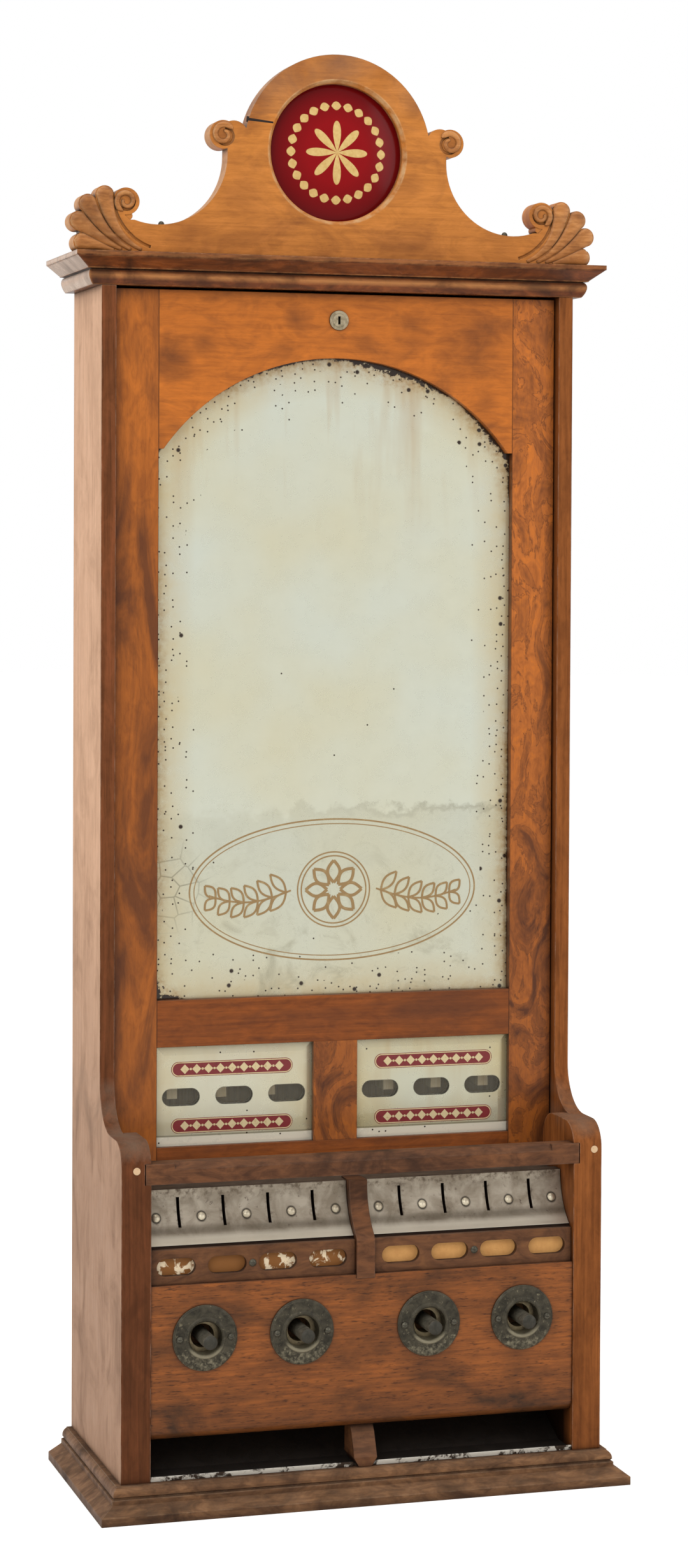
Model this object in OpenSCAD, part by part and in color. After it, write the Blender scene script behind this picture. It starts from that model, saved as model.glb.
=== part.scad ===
// Wooden vending machine for packets of gum: mirror door, coin slits, push rods, delivery tray.
// Millimetres. X to the right, Y to the back, Z up. The origin is under the middle of the plinth.

/* [Case] */
// Width over the two side boards
case_w = 317.5; // [311:0.5:330]
// Height of the side boards between plinth and cornice
side_h = 747.5; // [735:0.5:780]
// Depth of the side boards below the shoulder
lower_d = 145.5; // [144:0.5:152]
// Depth of the side boards above the shoulder
upper_d = 82.6; // [81:0.1:84]
// Thickness of the side boards
board_t = 19; // [18:0.5:20]
// Height of the shoulder above the plinth
shoulder_h = 212; // [210:0.5:216]
// Radius of the hollow above the shoulder
cove_r = 30; // [24:0.5:32]
// Radius of the nose of the shoulder
nose_r = 16.5; // [10:0.5:20]
// Width of the strip that each side board shows beside the door
lip_w = 9.5; // [8:0.5:11]
// Gap between the door and the lining of the shoulder
lining_gap = 12; // [11:0.5:14]
// Radius of the upper back corner of that lining
lining_r = 18; // [14:0.5:20]
// Thickness of the back board
back_t = 8; // [6:0.5:9]

/* [Plinth and cornice] */
// Height of the plinth
plinth_h = 21; // [18:0.5:26]
// How far the plinth stands out from the case
plinth_out = 15.5; // [12:0.5:18]
// Height of the cornice
cornice_h = 20.5; // [18:0.5:26]
// How far the cornice stands out at each side
cornice_out = 18.7; // [16:0.1:22]
// How far the cornice stands out in front of the side boards
cornice_front = 13; // [10:0.5:18]

/* [Crest] */
// Thickness of the crest board
crest_t = 14; // [13:0.5:20]
// Distance of the crest from the front edge of the cornice
crest_set = 24.1; // [18:0.1:40]
// Radius of the round head
head_r = 63; // [60:0.5:66]
// Height of the middle of the head above the cornice
head_h = 70; // [67:0.5:76]
// Radius of the medallion's opening
medal_r = 44.5; // [38:0.5:48]
// Thickness of the medallion glass at its edge
medal_t = 3; // [2:0.5:4]
// How far the medallion glass bulges forward
medal_rise = 5; // [3:0.5:6]
// Distance of the shell's volute from the outer face of the side board
volute_in = 18.25; // [17:0.25:20]
// Distance from the centre of the hollow sweep to the volute
volute_reach = 20.5; // [19:0.5:22]
// Radius of the two small scrolls
scroll_r = 9.2; // [8:0.1:10]
// Part of the half width at which the small scrolls stand
scroll_share = 0.483; // [0.475:0.001:0.49]
// Radius of the volute on each shell
volute_r = 8.7; // [8:0.1:9.5]
// Radius of the shell lobes
lobe_r = 6.2; // [6:0.1:7]
// Width of the carved grooves
groove_w = 1.8; // [1:0.1:2.4]

/* [Door] */
// Thickness of the door frame
door_t = 19; // [18:0.5:20]
// How far the door lies behind the edges of the side boards
door_recess = 7.4; // [6:0.1:9]
// Gap beside the door
door_gap = 0.75; // [0.5:0.05:1.2]
// Gap above the door
door_top_gap = 1.5; // [1:0.1:3]
// How far the door reaches below the top of the shoulder
door_drop = 30; // [29:0.5:31]
// Width of the stiles
stile_w = 28.8; // [26:0.1:32]
// Height of the top rail at its ends
top_rail_h = 101.5; // [95:0.5:110]
// Height of the top rail over the crown of the arch
crown_h = 41.5; // [38:0.5:46]
// Radius of the arch
arch_r = 143; // [141:1:160]
// Height of the middle rail
mid_rail_h = 30; // [24:0.5:36]
// Height of the bottom rail
bottom_rail_h = 14; // [13:0.5:16]
// Height of the opening for each small pane
pane_h = 64.7; // [58:0.1:70]
// Width of the mullion between the panes
mullion_w = 29.6; // [26:0.1:34]
// How far the glass is housed in the frame
rabbet_w = 5; // [4:0.5:6]
// How far the mirror lies behind the face of the door
mirror_set = 6; // [4:0.5:7]
// Thickness of the mirror glass
mirror_t = 3; // [2:0.5:4]
// Thickness of the board behind the mirror
mirror_back_t = 5; // [3:0.5:6]
// How far the panes lie behind the face of the door
pane_set = 4; // [3:0.5:6]
// Thickness of the panes
pane_t = 4; // [3:0.5:5]
// Width of the bevel on the panes that shows
bevel_w = 6; // [4:0.5:8]
// Thickness of the boards behind the panes
pane_back_t = 3; // [2:0.5:4]
// Width of the pane beside the outer sight windows
sight_end = 4.55; // [4:0.05:7]
// Height of the sight windows
sight_h = 11.4; // [8:0.2:14]
// Width of the pane between neighbouring sight windows
sight_web = 10.4; // [8:0.2:13]
// Height of the sight windows above the bottom of the pane
sight_rise = 31.5; // [28:0.5:36]
// Diameter of the pivot pins
pivot_dia = 6; // [5:0.5:7]
// How far the pivots lie behind the face of the door
pivot_set = 5; // [4.5:0.5:6]
// Height of the pivots above the bottom of the door
pivot_rise = 6; // [5:0.5:7]

/* [Lock] */
// Diameter of the lock barrel
barrel_dia = 12.6; // [10:0.2:16]
// Diameter of the key plug
plug_dia = 8.6; // [7:0.2:9.6]
// Distance of the lock below the top of the door
lock_drop = 17; // [15:0.5:20]
// Length of the cam from the middle of the plug
cam_len = 15; // [12:0.5:15.5]

/* [Coin front] */
// Height of the front rail above the plinth
rail_rise = 186; // [184:0.5:190]
// Height of the front rail
rail_h = 13; // [10:0.5:16]
// Depth of the front rail
rail_d = 12; // [8:0.5:16]
// How far the front rail is housed in each side board
rail_housing = 3.5; // [2:0.5:6]
// Thickness of the divider between the two halves
divider_t = 12; // [10:0.5:14]
// Height of the coin plates
plate_h = 32; // [28:0.5:36]
// How far the coin plates curve forward
plate_d = 17; // [15:0.5:20]
// Thickness of the tin of the coin plates
plate_t = 0.8; // [0.6:0.1:1.2]
// Width of the coin slits
slit_w = 2; // [1.8:0.1:2.6]
// Height of the coin slits
slit_h = 18; // [16:0.5:20]
// Distance of the first nail of a coin plate from the middle
nail_start = 14.3; // [13:0.1:16]
// Distance of the last nail from the side board
nail_end = 7.85; // [6:0.05:10]
// Height of the label strips
strip_h = 22; // [18:0.5:24]
// Thickness of the label strips
strip_t = 4; // [3:0.5:5]
// Width of the strip between neighbouring label windows
label_web = 7.9; // [6:0.1:10]
// Width of the strip inside the first label window
label_in = 5.6; // [4:0.1:8]
// Width of the strip outside the last label window
label_out = 4.45; // [3:0.05:8]
// Height of the label windows
label_h = 11; // [8:0.5:14]

/* [Rods] */
// Diameter of the push rods
rod_dia = 9; // [8:0.5:10]
// Height of the rods above the plinth
rod_rise = 88.5; // [86:0.5:92]
// Gap between the plate of an outer rod and the side board
rod_end_gap = 14; // [12:0.5:17]
// Distance of the inner rods from the middle, as a part of that of the outer rods
rod_in_share = 0.4; // [0.38:0.005:0.42]
// Travel of the rods
rod_travel = 22; // [18:0.5:24]
// Diameter of the finger holes
finger_dia = 21.4; // [19:0.2:23]
// Diameter of the plates round the finger holes
rosette_dia = 41.5; // [38:0.5:44]
// Thickness of those plates
rosette_t = 3; // [2:0.5:4]
// Thickness of the panel that the rods come through
panel_t = 12; // [10:0.5:13]
// Gap between that panel and the plinth
mouth_h = 25; // [22:0.5:28]
// Diameter of the spring wire
wire_dia = 1.4; // [1:0.1:1.6]
// Number of turns of the springs
spring_turns = 8; // [6:1:10]

/* [Inside] */
// Thickness of the column partitions
partition_t = 7; // [6:0.5:8]
// Gap between the partitions and the cam of the lock
partition_clear = 1.5; // [1:0.5:60]
// Gap between the noses of the partitions and the boards behind the panes
nose_gap = 2.5; // [2:0.5:5]
// Height of the gap under the partitions
packet_gap = 14; // [12:0.5:16]
// Thickness of the tin sheet
tin_t = 1; // [0.8:0.1:1.2]
// Height of the cash box
cash_h = 26; // [20:0.5:27]
// Depth of the cash box
cash_d = 64; // [50:1:66]
// Gap beside the cash box
cash_gap = 11; // [4:0.5:16]
// Depth of the shelf under the cash box
shelf_d = 70; // [60:1:74]

/* [Hidden] */
$fn = 64;
eps = 0.5;
fit = 0.05;
snug = 0.02;
seat = 0.3;

half_w = case_w / 2;
inner_x = half_w - board_t;
overall_d = lower_d + plinth_out;
back_y = overall_d / 2;
lower_y = back_y - lower_d;
upper_y = back_y - upper_d;
inside_y = back_y - back_t;
shoulder_z = plinth_h + shoulder_h;
top_z = plinth_h + side_h;
crest_z = top_z + cornice_h;

door_y = upper_y + door_recess;
door_back = door_y + door_t;
rebate_x = half_w - lip_w;
door_x = rebate_x - door_gap;
door_z = shoulder_z - door_drop;
door_top = top_z - door_top_gap;
pivot_y = door_y + pivot_set;
pivot_z = door_z + pivot_rise;
pivot_len = 12;
pivot_depth = 6;
rebate_z = pivot_z - norm([pivot_set, pivot_rise]) - 1.2;
rebate_back = door_back + 3.5;
lining_y = door_y - lining_gap;

opening_x = door_x - stile_w;
pane_z = door_z + bottom_rail_h;
pane_top = pane_z + pane_h;
mirror_z = pane_top + mid_rail_h;
spring_z = door_top - top_rail_h;
crown_z = door_top - crown_h;
arch_z = crown_z - arch_r;
lock_z = door_top - lock_drop;

panel_y = lower_y + 1.3;
panel_back = panel_y + panel_t;
panel_z = plinth_h + mouth_h;
rod_z = plinth_h + rod_rise;
strip_z = rod_z + 33.7;
strip_y = lower_y + 3.8;
card_t = 0.5;
card_y = strip_y + strip_t;
plate_z = strip_z + strip_h + 1.8;
plate_top = plate_z + plate_h;
plate_lip_y = strip_y + 3.7;
plate_y = plate_lip_y + plate_d;
plate_r = (plate_d * plate_d + plate_h * plate_h) / (2 * plate_d);
block_back = plate_y + 11;
rail_z = plinth_h + rail_rise;
slit_top = plate_top - 5;
ledge_t = 9;
ledge_top = rebate_z - 3;

rod_out_x = inner_x - rod_end_gap - rosette_dia / 2;
rod_in_x = rod_out_x * rod_in_share;
rod_xs = [-rod_out_x, -rod_in_x, rod_in_x, rod_out_x];
slit_pitch = (inner_x - nail_end - nail_start) / 4;
slit_xs = [for (k = [0:3]) nail_start + (k + 0.5) * slit_pitch];
nail_xs = [for (k = [0:4]) nail_start + k * slit_pitch];
label_w = (inner_x - divider_t / 2 - label_in - label_out - 3 * label_web) / 4;
label_pitch = label_w + label_web;
label_x = divider_t / 2 + label_in + label_w / 2;
label_xs = [for (k = [0:3]) label_x + k * label_pitch];
column_xs = label_xs;
partition_xs = [for (k = [0:3]) label_x + (k - 0.5) * label_pitch];
sight_mid = (opening_x + mullion_w / 2) / 2;
sight_w = (opening_x - mullion_w / 2 - 2 * sight_end - 2 * sight_web) / 3;
sight_pitch = sight_w + sight_web;
sight_xs = [for (k = [-1:1]) sight_mid + k * sight_pitch];
sight_z = pane_z + sight_rise;

rod_r = rod_dia / 2;
rod_tip = lower_y - plinth_out + 0.5;
guide_t = 7;
guide_h = 24;
front_guide_y = panel_back + 5;
head_y = front_guide_y + guide_t + seat;
head_len = 14.5;
head_half = 9;
arm_w = 8;
arm_t = 4;
spring_y = head_y + head_len;
spring_len = rod_travel + 29;
rear_guide_y = spring_y + spring_len;
rod_end = rear_guide_y + 8 + 2;
arm_z = ledge_top - ledge_t - 10;
finger_y = door_back + 5.7;
finger_t = 2.5;
finger_w = 6;
floor_t = 6;
floor_top = shoulder_z - 1;
floor_y = door_back + 0.7;
floor_d = rod_travel + 3;
finger_top = floor_top + 9;
partition_z = floor_top + packet_gap;
partition_y = door_back + 2.7;
cam_half = 4;
partition_top = lock_z - cam_half - partition_clear;
nose_y = door_y + pane_set + pane_t + pane_back_t + nose_gap;
nose_top = pane_top - 6;

shelf_t = 6;
shelf_z = rod_z - guide_h / 2 - 2 - cash_h - shelf_t;
mouth_floor = plinth_h + tin_t;

// General shapes

// Box between two values on each axis
module block(x, y, z) {
    translate([x[0], y[0], z[0]])
        cube([x[1] - x[0], y[1] - y[0], z[1] - z[0]]);
}

// Outline in Y and Z, drawn out along X
module along_x(x0, x1) {
    translate([x0, 0, 0])
        rotate([90, 0, 90])
            linear_extrude(x1 - x0)
                children();
}

// Outline in X and Z, drawn out along Y
module along_y(y0, y1) {
    translate([0, y1, 0])
        rotate([90, 0, 0])
            linear_extrude(y1 - y0)
                children();
}

// Round bar along Y
module bar_y(x, z, y0, y1, r) {
    translate([x, y0, z])
        rotate([-90, 0, 0])
            cylinder(r = r, h = y1 - y0);
}

// Rectangle between two corners
module area(low, high) {
    translate(low)
        square(high - low);
}

// A piece and its mirror image on the left
module both_sides() {
    children();
    mirror([1, 0, 0])
        children();
}

// Slot with round ends, upright on its middle
module pill(w, h) {
    square([w - h, h], center = true);
    for (side = [-1, 1])
        translate([side * (w - h) / 2, 0])
            circle(d = h);
}

// Centre of the arc of radius r from a to b that bends to the left
function arc_centre(a, b, r) =
    let (d = b - a)
    (a + b) / 2 + sqrt(r * r - d * d / 4) * [-d.y, d.x] / norm(d);

// Board whose front and side edges have the moulding given as children, an outline of X against Z.
// The outline is the half board from its middle to the right edge.
module moulded_board(w, front, back) {
    intersection() {
        along_y(front - eps, back)
            both_sides()
                children();
        along_x(-w / 2 - eps, w / 2 + eps)
            intersection() {
                translate([front + w / 2, 0])
                    mirror([1, 0])
                        children();
                area([front - eps, -eps], [back, top_z + 2 * cornice_h]);
            }
    }
}

// Case

// Half of the plinth's cross section: a nosing on top, a quirk, a long bevel and an upright edge
module plinth_section() {
    edge = half_w + plinth_out;
    quirk = plinth_h * 0.64;
    nosing = plinth_h - quirk;
    difference() {
        area([-eps, 0], [edge, plinth_h]);
        polygon([
            [edge + eps, plinth_h * 0.25],
            [edge, plinth_h * 0.25],
            [half_w + nosing * 0.45, quirk - 1],
            [half_w + nosing * 0.45, plinth_h + eps],
            [edge + eps, plinth_h + eps]
        ]);
    }
    difference() {
        area([-eps, quirk], [half_w + nosing * 0.3, plinth_h]);
        translate([half_w + nosing * 0.3, plinth_h])
            circle(r = nosing * 0.25);
    }
}

module plinth() {
    color("#4a2a18")
        moulded_board(2 * (half_w + plinth_out), -back_y, back_y)
            plinth_section();
}

// Half of the cornice's cross section: a fillet, a cove, a step, a second cove and a bead
module cornice_section() {
    edge = half_w + cornice_out;
    step = [half_w + 6, top_z + cornice_h * 0.53];
    cove_low = step + [2.6, 0];
    cove_high = [edge - 1, crest_z - 3];
    difference() {
        area([-eps, top_z], [edge, crest_z]);
        area([step.x, top_z - eps], [edge + eps, step.y]);
        translate(arc_centre(cove_high, cove_low, 10))
            circle(r = 10);
        translate([step.x + 1.6, top_z + cornice_h * 0.34])
            circle(r = 3.4);
    }
}

module cornice() {
    front = upper_y - cornice_front;
    color("#4a2a18")
        moulded_board(2 * (half_w + cornice_out), front, back_y)
            cornice_section();
}

// Lower front of a side board, with the rounded nose of the shoulder
module shoulder_outline() {
    difference() {
        area([lower_y, plinth_h], [upper_y + eps, shoulder_z]);
        area([lower_y - eps, shoulder_z - nose_r], [lower_y + nose_r, shoulder_z + eps]);
    }
    translate([lower_y + nose_r, shoulder_z - nose_r])
        circle(r = nose_r);
}

// Outline of a side board, with the hollow above the shoulder
module side_outline() {
    area([upper_y, plinth_h], [back_y, top_z]);
    shoulder_outline();
    difference() {
        area([upper_y - cove_r, shoulder_z - eps], [upper_y + eps, shoulder_z + cove_r]);
        translate([upper_y - cove_r, shoulder_z + cove_r])
            circle(r = cove_r);
    }
}

// What the door's rebate takes out of the inner face, up to the rounded lining of the shoulder
module rebate_outline() {
    difference() {
        area([lower_y - eps, rebate_z], [rebate_back, top_z + eps]);
        difference() {
            area([lower_y - 2 * eps, rebate_z - eps], [lining_y, shoulder_z]);
            difference() {
                area([lining_y - lining_r, shoulder_z - lining_r], [lining_y + eps, shoulder_z + eps]);
                translate([lining_y - lining_r, shoulder_z - lining_r])
                    circle(r = lining_r);
            }
        }
    }
}

module right_side() {
    color("#7a4726")
        difference() {
            along_x(inner_x, half_w)
                side_outline();
            along_x(inner_x - eps, rebate_x)
                rebate_outline();
            block([inner_x - eps, inner_x + rail_housing + 0.6],
                [lower_y - eps, lower_y + rail_d], [rail_z, rail_z + rail_h]);
            translate([rebate_x - eps, pivot_y, pivot_z])
                rotate([0, 90, 0])
                    cylinder(d = pivot_dia + 2 * fit, h = pivot_depth + eps);
        }
}

module left_side() {
    mirror([1, 0, 0])
        right_side();
}

module back_board() {
    color("#5b3a22")
        block([-inner_x, inner_x], [inside_y, back_y], [plinth_h, top_z]);
}

// Crest

// Right half of the crest's outline, from the cornice up
module crest_outline() {
    head_z = crest_z + head_h;
    sweep_z = head_z - 4.5;
    difference() {
        area([-eps, crest_z], [volute_x, sweep_z]);
        translate([sweep_x, sweep_z])
            circle(r = sweep_r);
        area([sweep_x + 14, crest_z + 22], [volute_x + eps, sweep_z + eps]);
    }
    area([-eps, sweep_z - eps], [sweep_x - sweep_r, crest_z + scroll_h]);
    translate([0, head_z])
        circle(r = head_r);
}

scroll_h = head_h + 8.5;
scroll_x = half_w * scroll_share;
volute_x = half_w - volute_in;
volute_h = 33.6;
sweep_x = volute_x - volute_reach;
sweep_r = sweep_x - scroll_x + 2.7;
shell_focus = [volute_x + 2.5, 5.6];
lobe_reach = [33.4, 34, 31.8, 25.6];
lobe_angles = [70, 49, 27.5, 2.7];
volute_turn = [170, 290];
scroll_turn = [90, 250];
lobe_centres = [
    for (k = [0:3])
        shell_focus + lobe_reach[k] * [cos(lobe_angles[k]), sin(lobe_angles[k])]
];
shell_fan = concat([[sweep_x + 14, 0], [sweep_x + 14, 18]], lobe_centres, [[shell_focus.x + 26, 0]]);

// Round of the crest's thickness, at a height above the cornice
module crest_round(at, r) {
    bar_y(at.x, crest_z + at.y, crest_y, crest_y + crest_t, r);
}

// Small scroll beside the head, and the shell with its volute at the end of the sweep
module crest_ornament() {
    for (shift = [-7, 0])
        crest_round([scroll_x + shift, scroll_h], scroll_r);
    crest_round([volute_x, volute_h], volute_r);
    for (p = lobe_centres)
        crest_round(p, lobe_r);
    along_y(crest_y, crest_y + crest_t)
        translate([0, crest_z])
            polygon(shell_fan);
}

// Gouged line on the face of a shell, part of a ring seen from the front
module gouge(centre, r, from, sweep) {
    translate([centre.x, crest_y, crest_z + centre.y])
        rotate([90, 0, 0])
            rotate([0, 0, from])
                rotate_extrude(angle = sweep)
                    translate([r, 0])
                        circle(d = groove_w, $fn = 16);
}
crest_y = upper_y - cornice_front + crest_set;

// Gouged line from one point to another that bends to the left
module flute(a, b, bend) {
    centre = arc_centre(a, b, bend);
    from = a - centre;
    gouge(centre, bend, atan2(from.y, from.x), 2 * asin(norm(b - a) / (2 * bend)));
}

// Flutes that run from the root of the shell out between the lobes, and the eyes of the scrolls
module carving() {
    flute([sweep_x + 4.5, 5], [volute_x + volute_r, volute_h + 6], 36);
    for (k = [0:2]) {
        middle = (lobe_angles[k] + lobe_angles[k + 1]) / 2;
        ray = [cos(middle), sin(middle)];
        flute(shell_focus + 9 * ray, shell_focus + 38 * ray, 44);
    }
    gouge([volute_x, volute_h], volute_r - 3.4, volute_turn[0], volute_turn[1]);
    gouge([scroll_x - 1, scroll_h - 1], scroll_r - 3.8, scroll_turn[0], scroll_turn[1]);
}

module crest() {
    head_z = crest_z + head_h;
    color("#b4712e")
        difference() {
            union() {
                along_y(crest_y, crest_y + crest_t)
                    both_sides()
                        crest_outline();
                both_sides()
                    crest_ornament();
            }
            block([-2 * half_w, 2 * half_w], [crest_y - eps, crest_y + crest_t + eps], [top_z, crest_z]);
            bar_y(0, head_z, crest_y - eps, crest_y + crest_t + eps, medal_r);
            bar_y(0, head_z, medal_y, crest_y + crest_t + eps, medal_r + 3);
            translate([0, crest_y, head_z])
                rotate([-90, 0, 0])
                    cylinder(r1 = medal_r + 2, r2 = medal_r, h = 3);
            both_sides()
                carving();
        }
}
medal_y = crest_y + 7;

// Domed glass disc that closes the round opening
module medallion() {
    r = medal_r - seat;
    dome_r = (r * r + medal_rise * medal_rise) / (2 * medal_rise);
    color("#6e1016")
        translate([0, medal_y, crest_z + head_h])
            rotate([90, 0, 0]) {
                translate([0, 0, -medal_t])
                    cylinder(r = medal_r + 3 - seat, h = medal_t);
                rotate_extrude()
                    intersection() {
                        translate([0, medal_rise - dome_r])
                            circle(r = dome_r, $fn = 256);
                        area([0, -medal_t / 2], [r, medal_rise + eps]);
                    }
            }
}

module medallion_back() {
    color("#8a6239")
        bar_y(0, crest_z + head_h, medal_y + medal_t, crest_y + crest_t - 1, medal_r + 3 - seat);
}

// Door

// Opening for the mirror, grown on all sides
module mirror_outline(grow) {
    area([-opening_x - grow, mirror_z - grow], [opening_x + grow, spring_z + grow]);
    intersection() {
        translate([0, arch_z])
            circle(r = arch_r + grow, $fn = 128);
        area([-opening_x - grow, spring_z], [opening_x + grow, crown_z + grow + eps]);
    }
}

// Opening for the right pane, grown on all sides
module pane_outline(grow) {
    area([mullion_w / 2 - grow, pane_z - grow], [opening_x + grow, pane_top + grow]);
}

// Pockets at the back of the door frame for the mirror and the panes
module door_pockets() {
    along_y(door_y + mirror_set, door_back + eps)
        mirror_outline(rabbet_w);
    along_y(door_y + pane_set, door_back + eps)
        both_sides()
            pane_outline(rabbet_w);
}

module frame_piece(x, z) {
    color("#9a5325")
        difference() {
            block(x, [door_y, door_back], z);
            door_pockets();
            children();
        }
}

module pivot_pin(clear) {
    translate([door_x - pivot_len, pivot_y, pivot_z])
        rotate([0, 90, 0])
            cylinder(d = pivot_dia + 2 * clear, h = pivot_len + door_gap + pivot_depth - seat);
}

module right_stile() {
    frame_piece([opening_x, door_x], [door_z, door_top])
        pivot_pin(snug);
}

module left_stile() {
    mirror([1, 0, 0])
        right_stile();
}

module top_rail() {
    frame_piece([-opening_x, opening_x], [spring_z, door_top]) {
        along_y(door_y - eps, door_back + eps)
            mirror_outline(0);
        bar_y(0, lock_z, door_y - eps, door_back + eps, barrel_dia / 2 + snug);
    }
}

module mid_rail() {
    frame_piece([-opening_x, opening_x], [pane_top, mirror_z]);
}

module bottom_rail() {
    frame_piece([-opening_x, opening_x], [door_z, pane_z]);
}

module mullion() {
    frame_piece([-mullion_w / 2, mullion_w / 2], [pane_z, pane_top]);
}

module door_pivots() {
    color("#8f8a80")
        both_sides()
            pivot_pin(0);
}

module mirror_glass() {
    y = door_y + mirror_set;
    color("#d6d4be")
        along_y(y, y + mirror_t)
            mirror_outline(rabbet_w - seat);
}

module mirror_back() {
    y = door_y + mirror_set + mirror_t;
    color("#7d5a36")
        along_y(y, y + mirror_back_t)
            mirror_outline(rabbet_w - seat);
}

// Glass pane with a mitred bevel round its front
module right_pane() {
    grow = rabbet_w - seat;
    low = [mullion_w / 2 - grow, pane_z - grow];
    high = [opening_x + grow, pane_top + grow];
    y = door_y + pane_set;
    bevel = bevel_w + grow;
    cut = pane_t / 2;
    color("#cfcdb6")
        intersection() {
            along_x(low.x, high.x)
                bevelled([low.y, high.y], y, bevel, cut);
            translate([0, 0, low.y])
                linear_extrude(high.y - low.y)
                    mirror([1, -1])
                        bevelled([low.x, high.x], y, bevel, cut);
        }
}

// Section of a bevelled plate: Y against the span
module bevelled(span, y, bevel, cut) {
    polygon([
        [y + pane_t, span[0]],
        [y + cut, span[0]],
        [y, span[0] + bevel],
        [y, span[1] - bevel],
        [y + cut, span[1]],
        [y + pane_t, span[1]]
    ]);
}

module left_pane() {
    mirror([1, 0, 0])
        right_pane();
}

// Boards behind the panes, cut out at the sight windows
module pane_backs() {
    y = door_y + pane_set + pane_t;
    color("#4d3a24")
        both_sides()
            along_y(y, y + pane_back_t)
                difference() {
                    pane_outline(rabbet_w - seat);
                    for (x = sight_xs)
                        translate([x, sight_z])
                            pill(sight_w, sight_h);
                }
}

// Lock

lock_end = door_back + 2.2;

module lock_barrel() {
    color("#a98d52")
        difference() {
            bar_y(0, lock_z, door_y - 1, door_back + 0.2, barrel_dia / 2);
            bar_y(0, lock_z, door_y - 1 - eps, door_back + 1, plug_dia / 2 + fit);
        }
}

module lock_plug() {
    color("#8c7442")
        difference() {
            bar_y(0, lock_z, door_y - 1.2, lock_end, plug_dia / 2);
            block([-0.8, 0.8], [door_y - 2, door_y + 6], [lock_z - 2.6, lock_z + 2.6]);
        }
}

// Flat cam on the end of the plug, lying to the left when unlocked
module lock_cam() {
    color("#8f8a80")
        along_y(lock_end, lock_end + 2.2) {
            translate([0, lock_z])
                circle(d = plug_dia + 2);
            area([-cam_len, lock_z - cam_half], [0, lock_z + cam_half]);
        }
}

// Plate under the cornice that the cam turns up behind
module lock_keeper() {
    plate_t = 1.3;
    y = door_back + 0.5;
    color("#8f8a80") {
        block([-11, 11], [y, y + plate_t], [top_z - 11, top_z]);
        block([-11, 11], [y, y + 14], [top_z - plate_t, top_z]);
    }
}

// Coin front

module front_rail() {
    end = inner_x + rail_housing;
    stop = inner_x - 15;
    color("#3f2415")
        difference() {
            block([-end, end], [lower_y, lower_y + rail_d], [rail_z, rail_z + rail_h]);
            along_x(-stop, stop)
                polygon([
                    [lower_y - eps, rail_z + rail_h - 4 - eps],
                    [lower_y + 4 + eps, rail_z + rail_h + eps],
                    [lower_y - eps, rail_z + rail_h + eps]
                ]);
        }
}

module ledge() {
    color("#5b3a22")
        block([-inner_x, inner_x], [block_back, door_back - 0.6], [ledge_top - ledge_t, ledge_top]);
}

// Front of the coin plates at a height
function plate_front(z) = plate_y - plate_r + sqrt(plate_r * plate_r - (plate_top - z) * (plate_top - z));

// Upright between the coin plates that follows their curve and ends in a short drop over the rod panel
module centre_divider() {
    front = panel_y - 0.7;
    behind = panel_y - 0.05;
    low = strip_z - divider_drop;
    curve = [
        for (k = [0:8])
            let (z = plate_z + 1 + (plate_h - 1) * k / 8)
            [plate_front(z) - divider_proud, z]
    ];
    color("#3f2415")
        along_x(-divider_t / 2, divider_t / 2)
            polygon(concat(
                [[behind, strip_z], [behind, low], [front, low], [front, strip_z + strip_h]],
                curve,
                [[plate_y - divider_proud, plate_top + 1], [block_back, plate_top + 1], [block_back, strip_z]]
            ));
}
divider_proud = 6;
divider_drop = 2.3;

// Nail through a coin plate, square to the curved tin
module at_nail(x) {
    tilt = asin((plate_h / 2 + 1) / plate_r);
    translate([x, plate_y - plate_r, plate_top])
        rotate([-tilt, 0, 0])
            translate([0, plate_r, 0])
                rotate([90, 0, 0])
                    children();
}
nail_r = 0.9;
nail_len = 7;
nail_head_r = 2.6;

module slits(w, low, high, y0, y1) {
    for (x = slit_xs)
        block([x - w / 2, x + w / 2], [y0, y1], [low, high]);
}

// Wooden block behind a coin plate, hollowed to the curve of the tin
module right_coin_block() {
    color("#4a2d1a")
        difference() {
            along_x(divider_t / 2, inner_x)
                difference() {
                    area([card_y + card_t, strip_z], [block_back, plate_top]);
                    translate([plate_y - plate_r, plate_top])
                        circle(r = plate_r + plate_t + seat, $fn = 128);
                }
            slits(slit_w + 0.6, slit_top - slit_h - 2, slit_top + 0.3, strip_y, block_back + eps);
            for (x = nail_xs)
                at_nail(x)
                    translate([0, 0, -nail_len - 1])
                        cylinder(r = nail_r + snug, h = 2 * nail_len + 2);
        }
}

module left_coin_block() {
    mirror([1, 0, 0])
        right_coin_block();
}

// Curved tin plate with a slit for each column
module right_coin_plate() {
    color("#8d8a80")
        difference() {
            along_x(divider_t / 2 + seat, inner_x - seat)
                intersection() {
                    difference() {
                        translate([plate_y - plate_r, plate_top])
                            circle(r = plate_r + plate_t, $fn = 128);
                        translate([plate_y - plate_r, plate_top])
                            circle(r = plate_r, $fn = 128);
                    }
                    area([plate_lip_y - eps, plate_z], [plate_y + plate_t, plate_top]);
                }
            slits(slit_w, slit_top - slit_h, slit_top, strip_y, block_back);
            for (x = nail_xs)
                at_nail(x)
                    translate([0, 0, -nail_len - 1])
                        cylinder(r = nail_r + snug, h = 2 * nail_len + 2);
        }
}

module left_coin_plate() {
    mirror([1, 0, 0])
        right_coin_plate();
}

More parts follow.
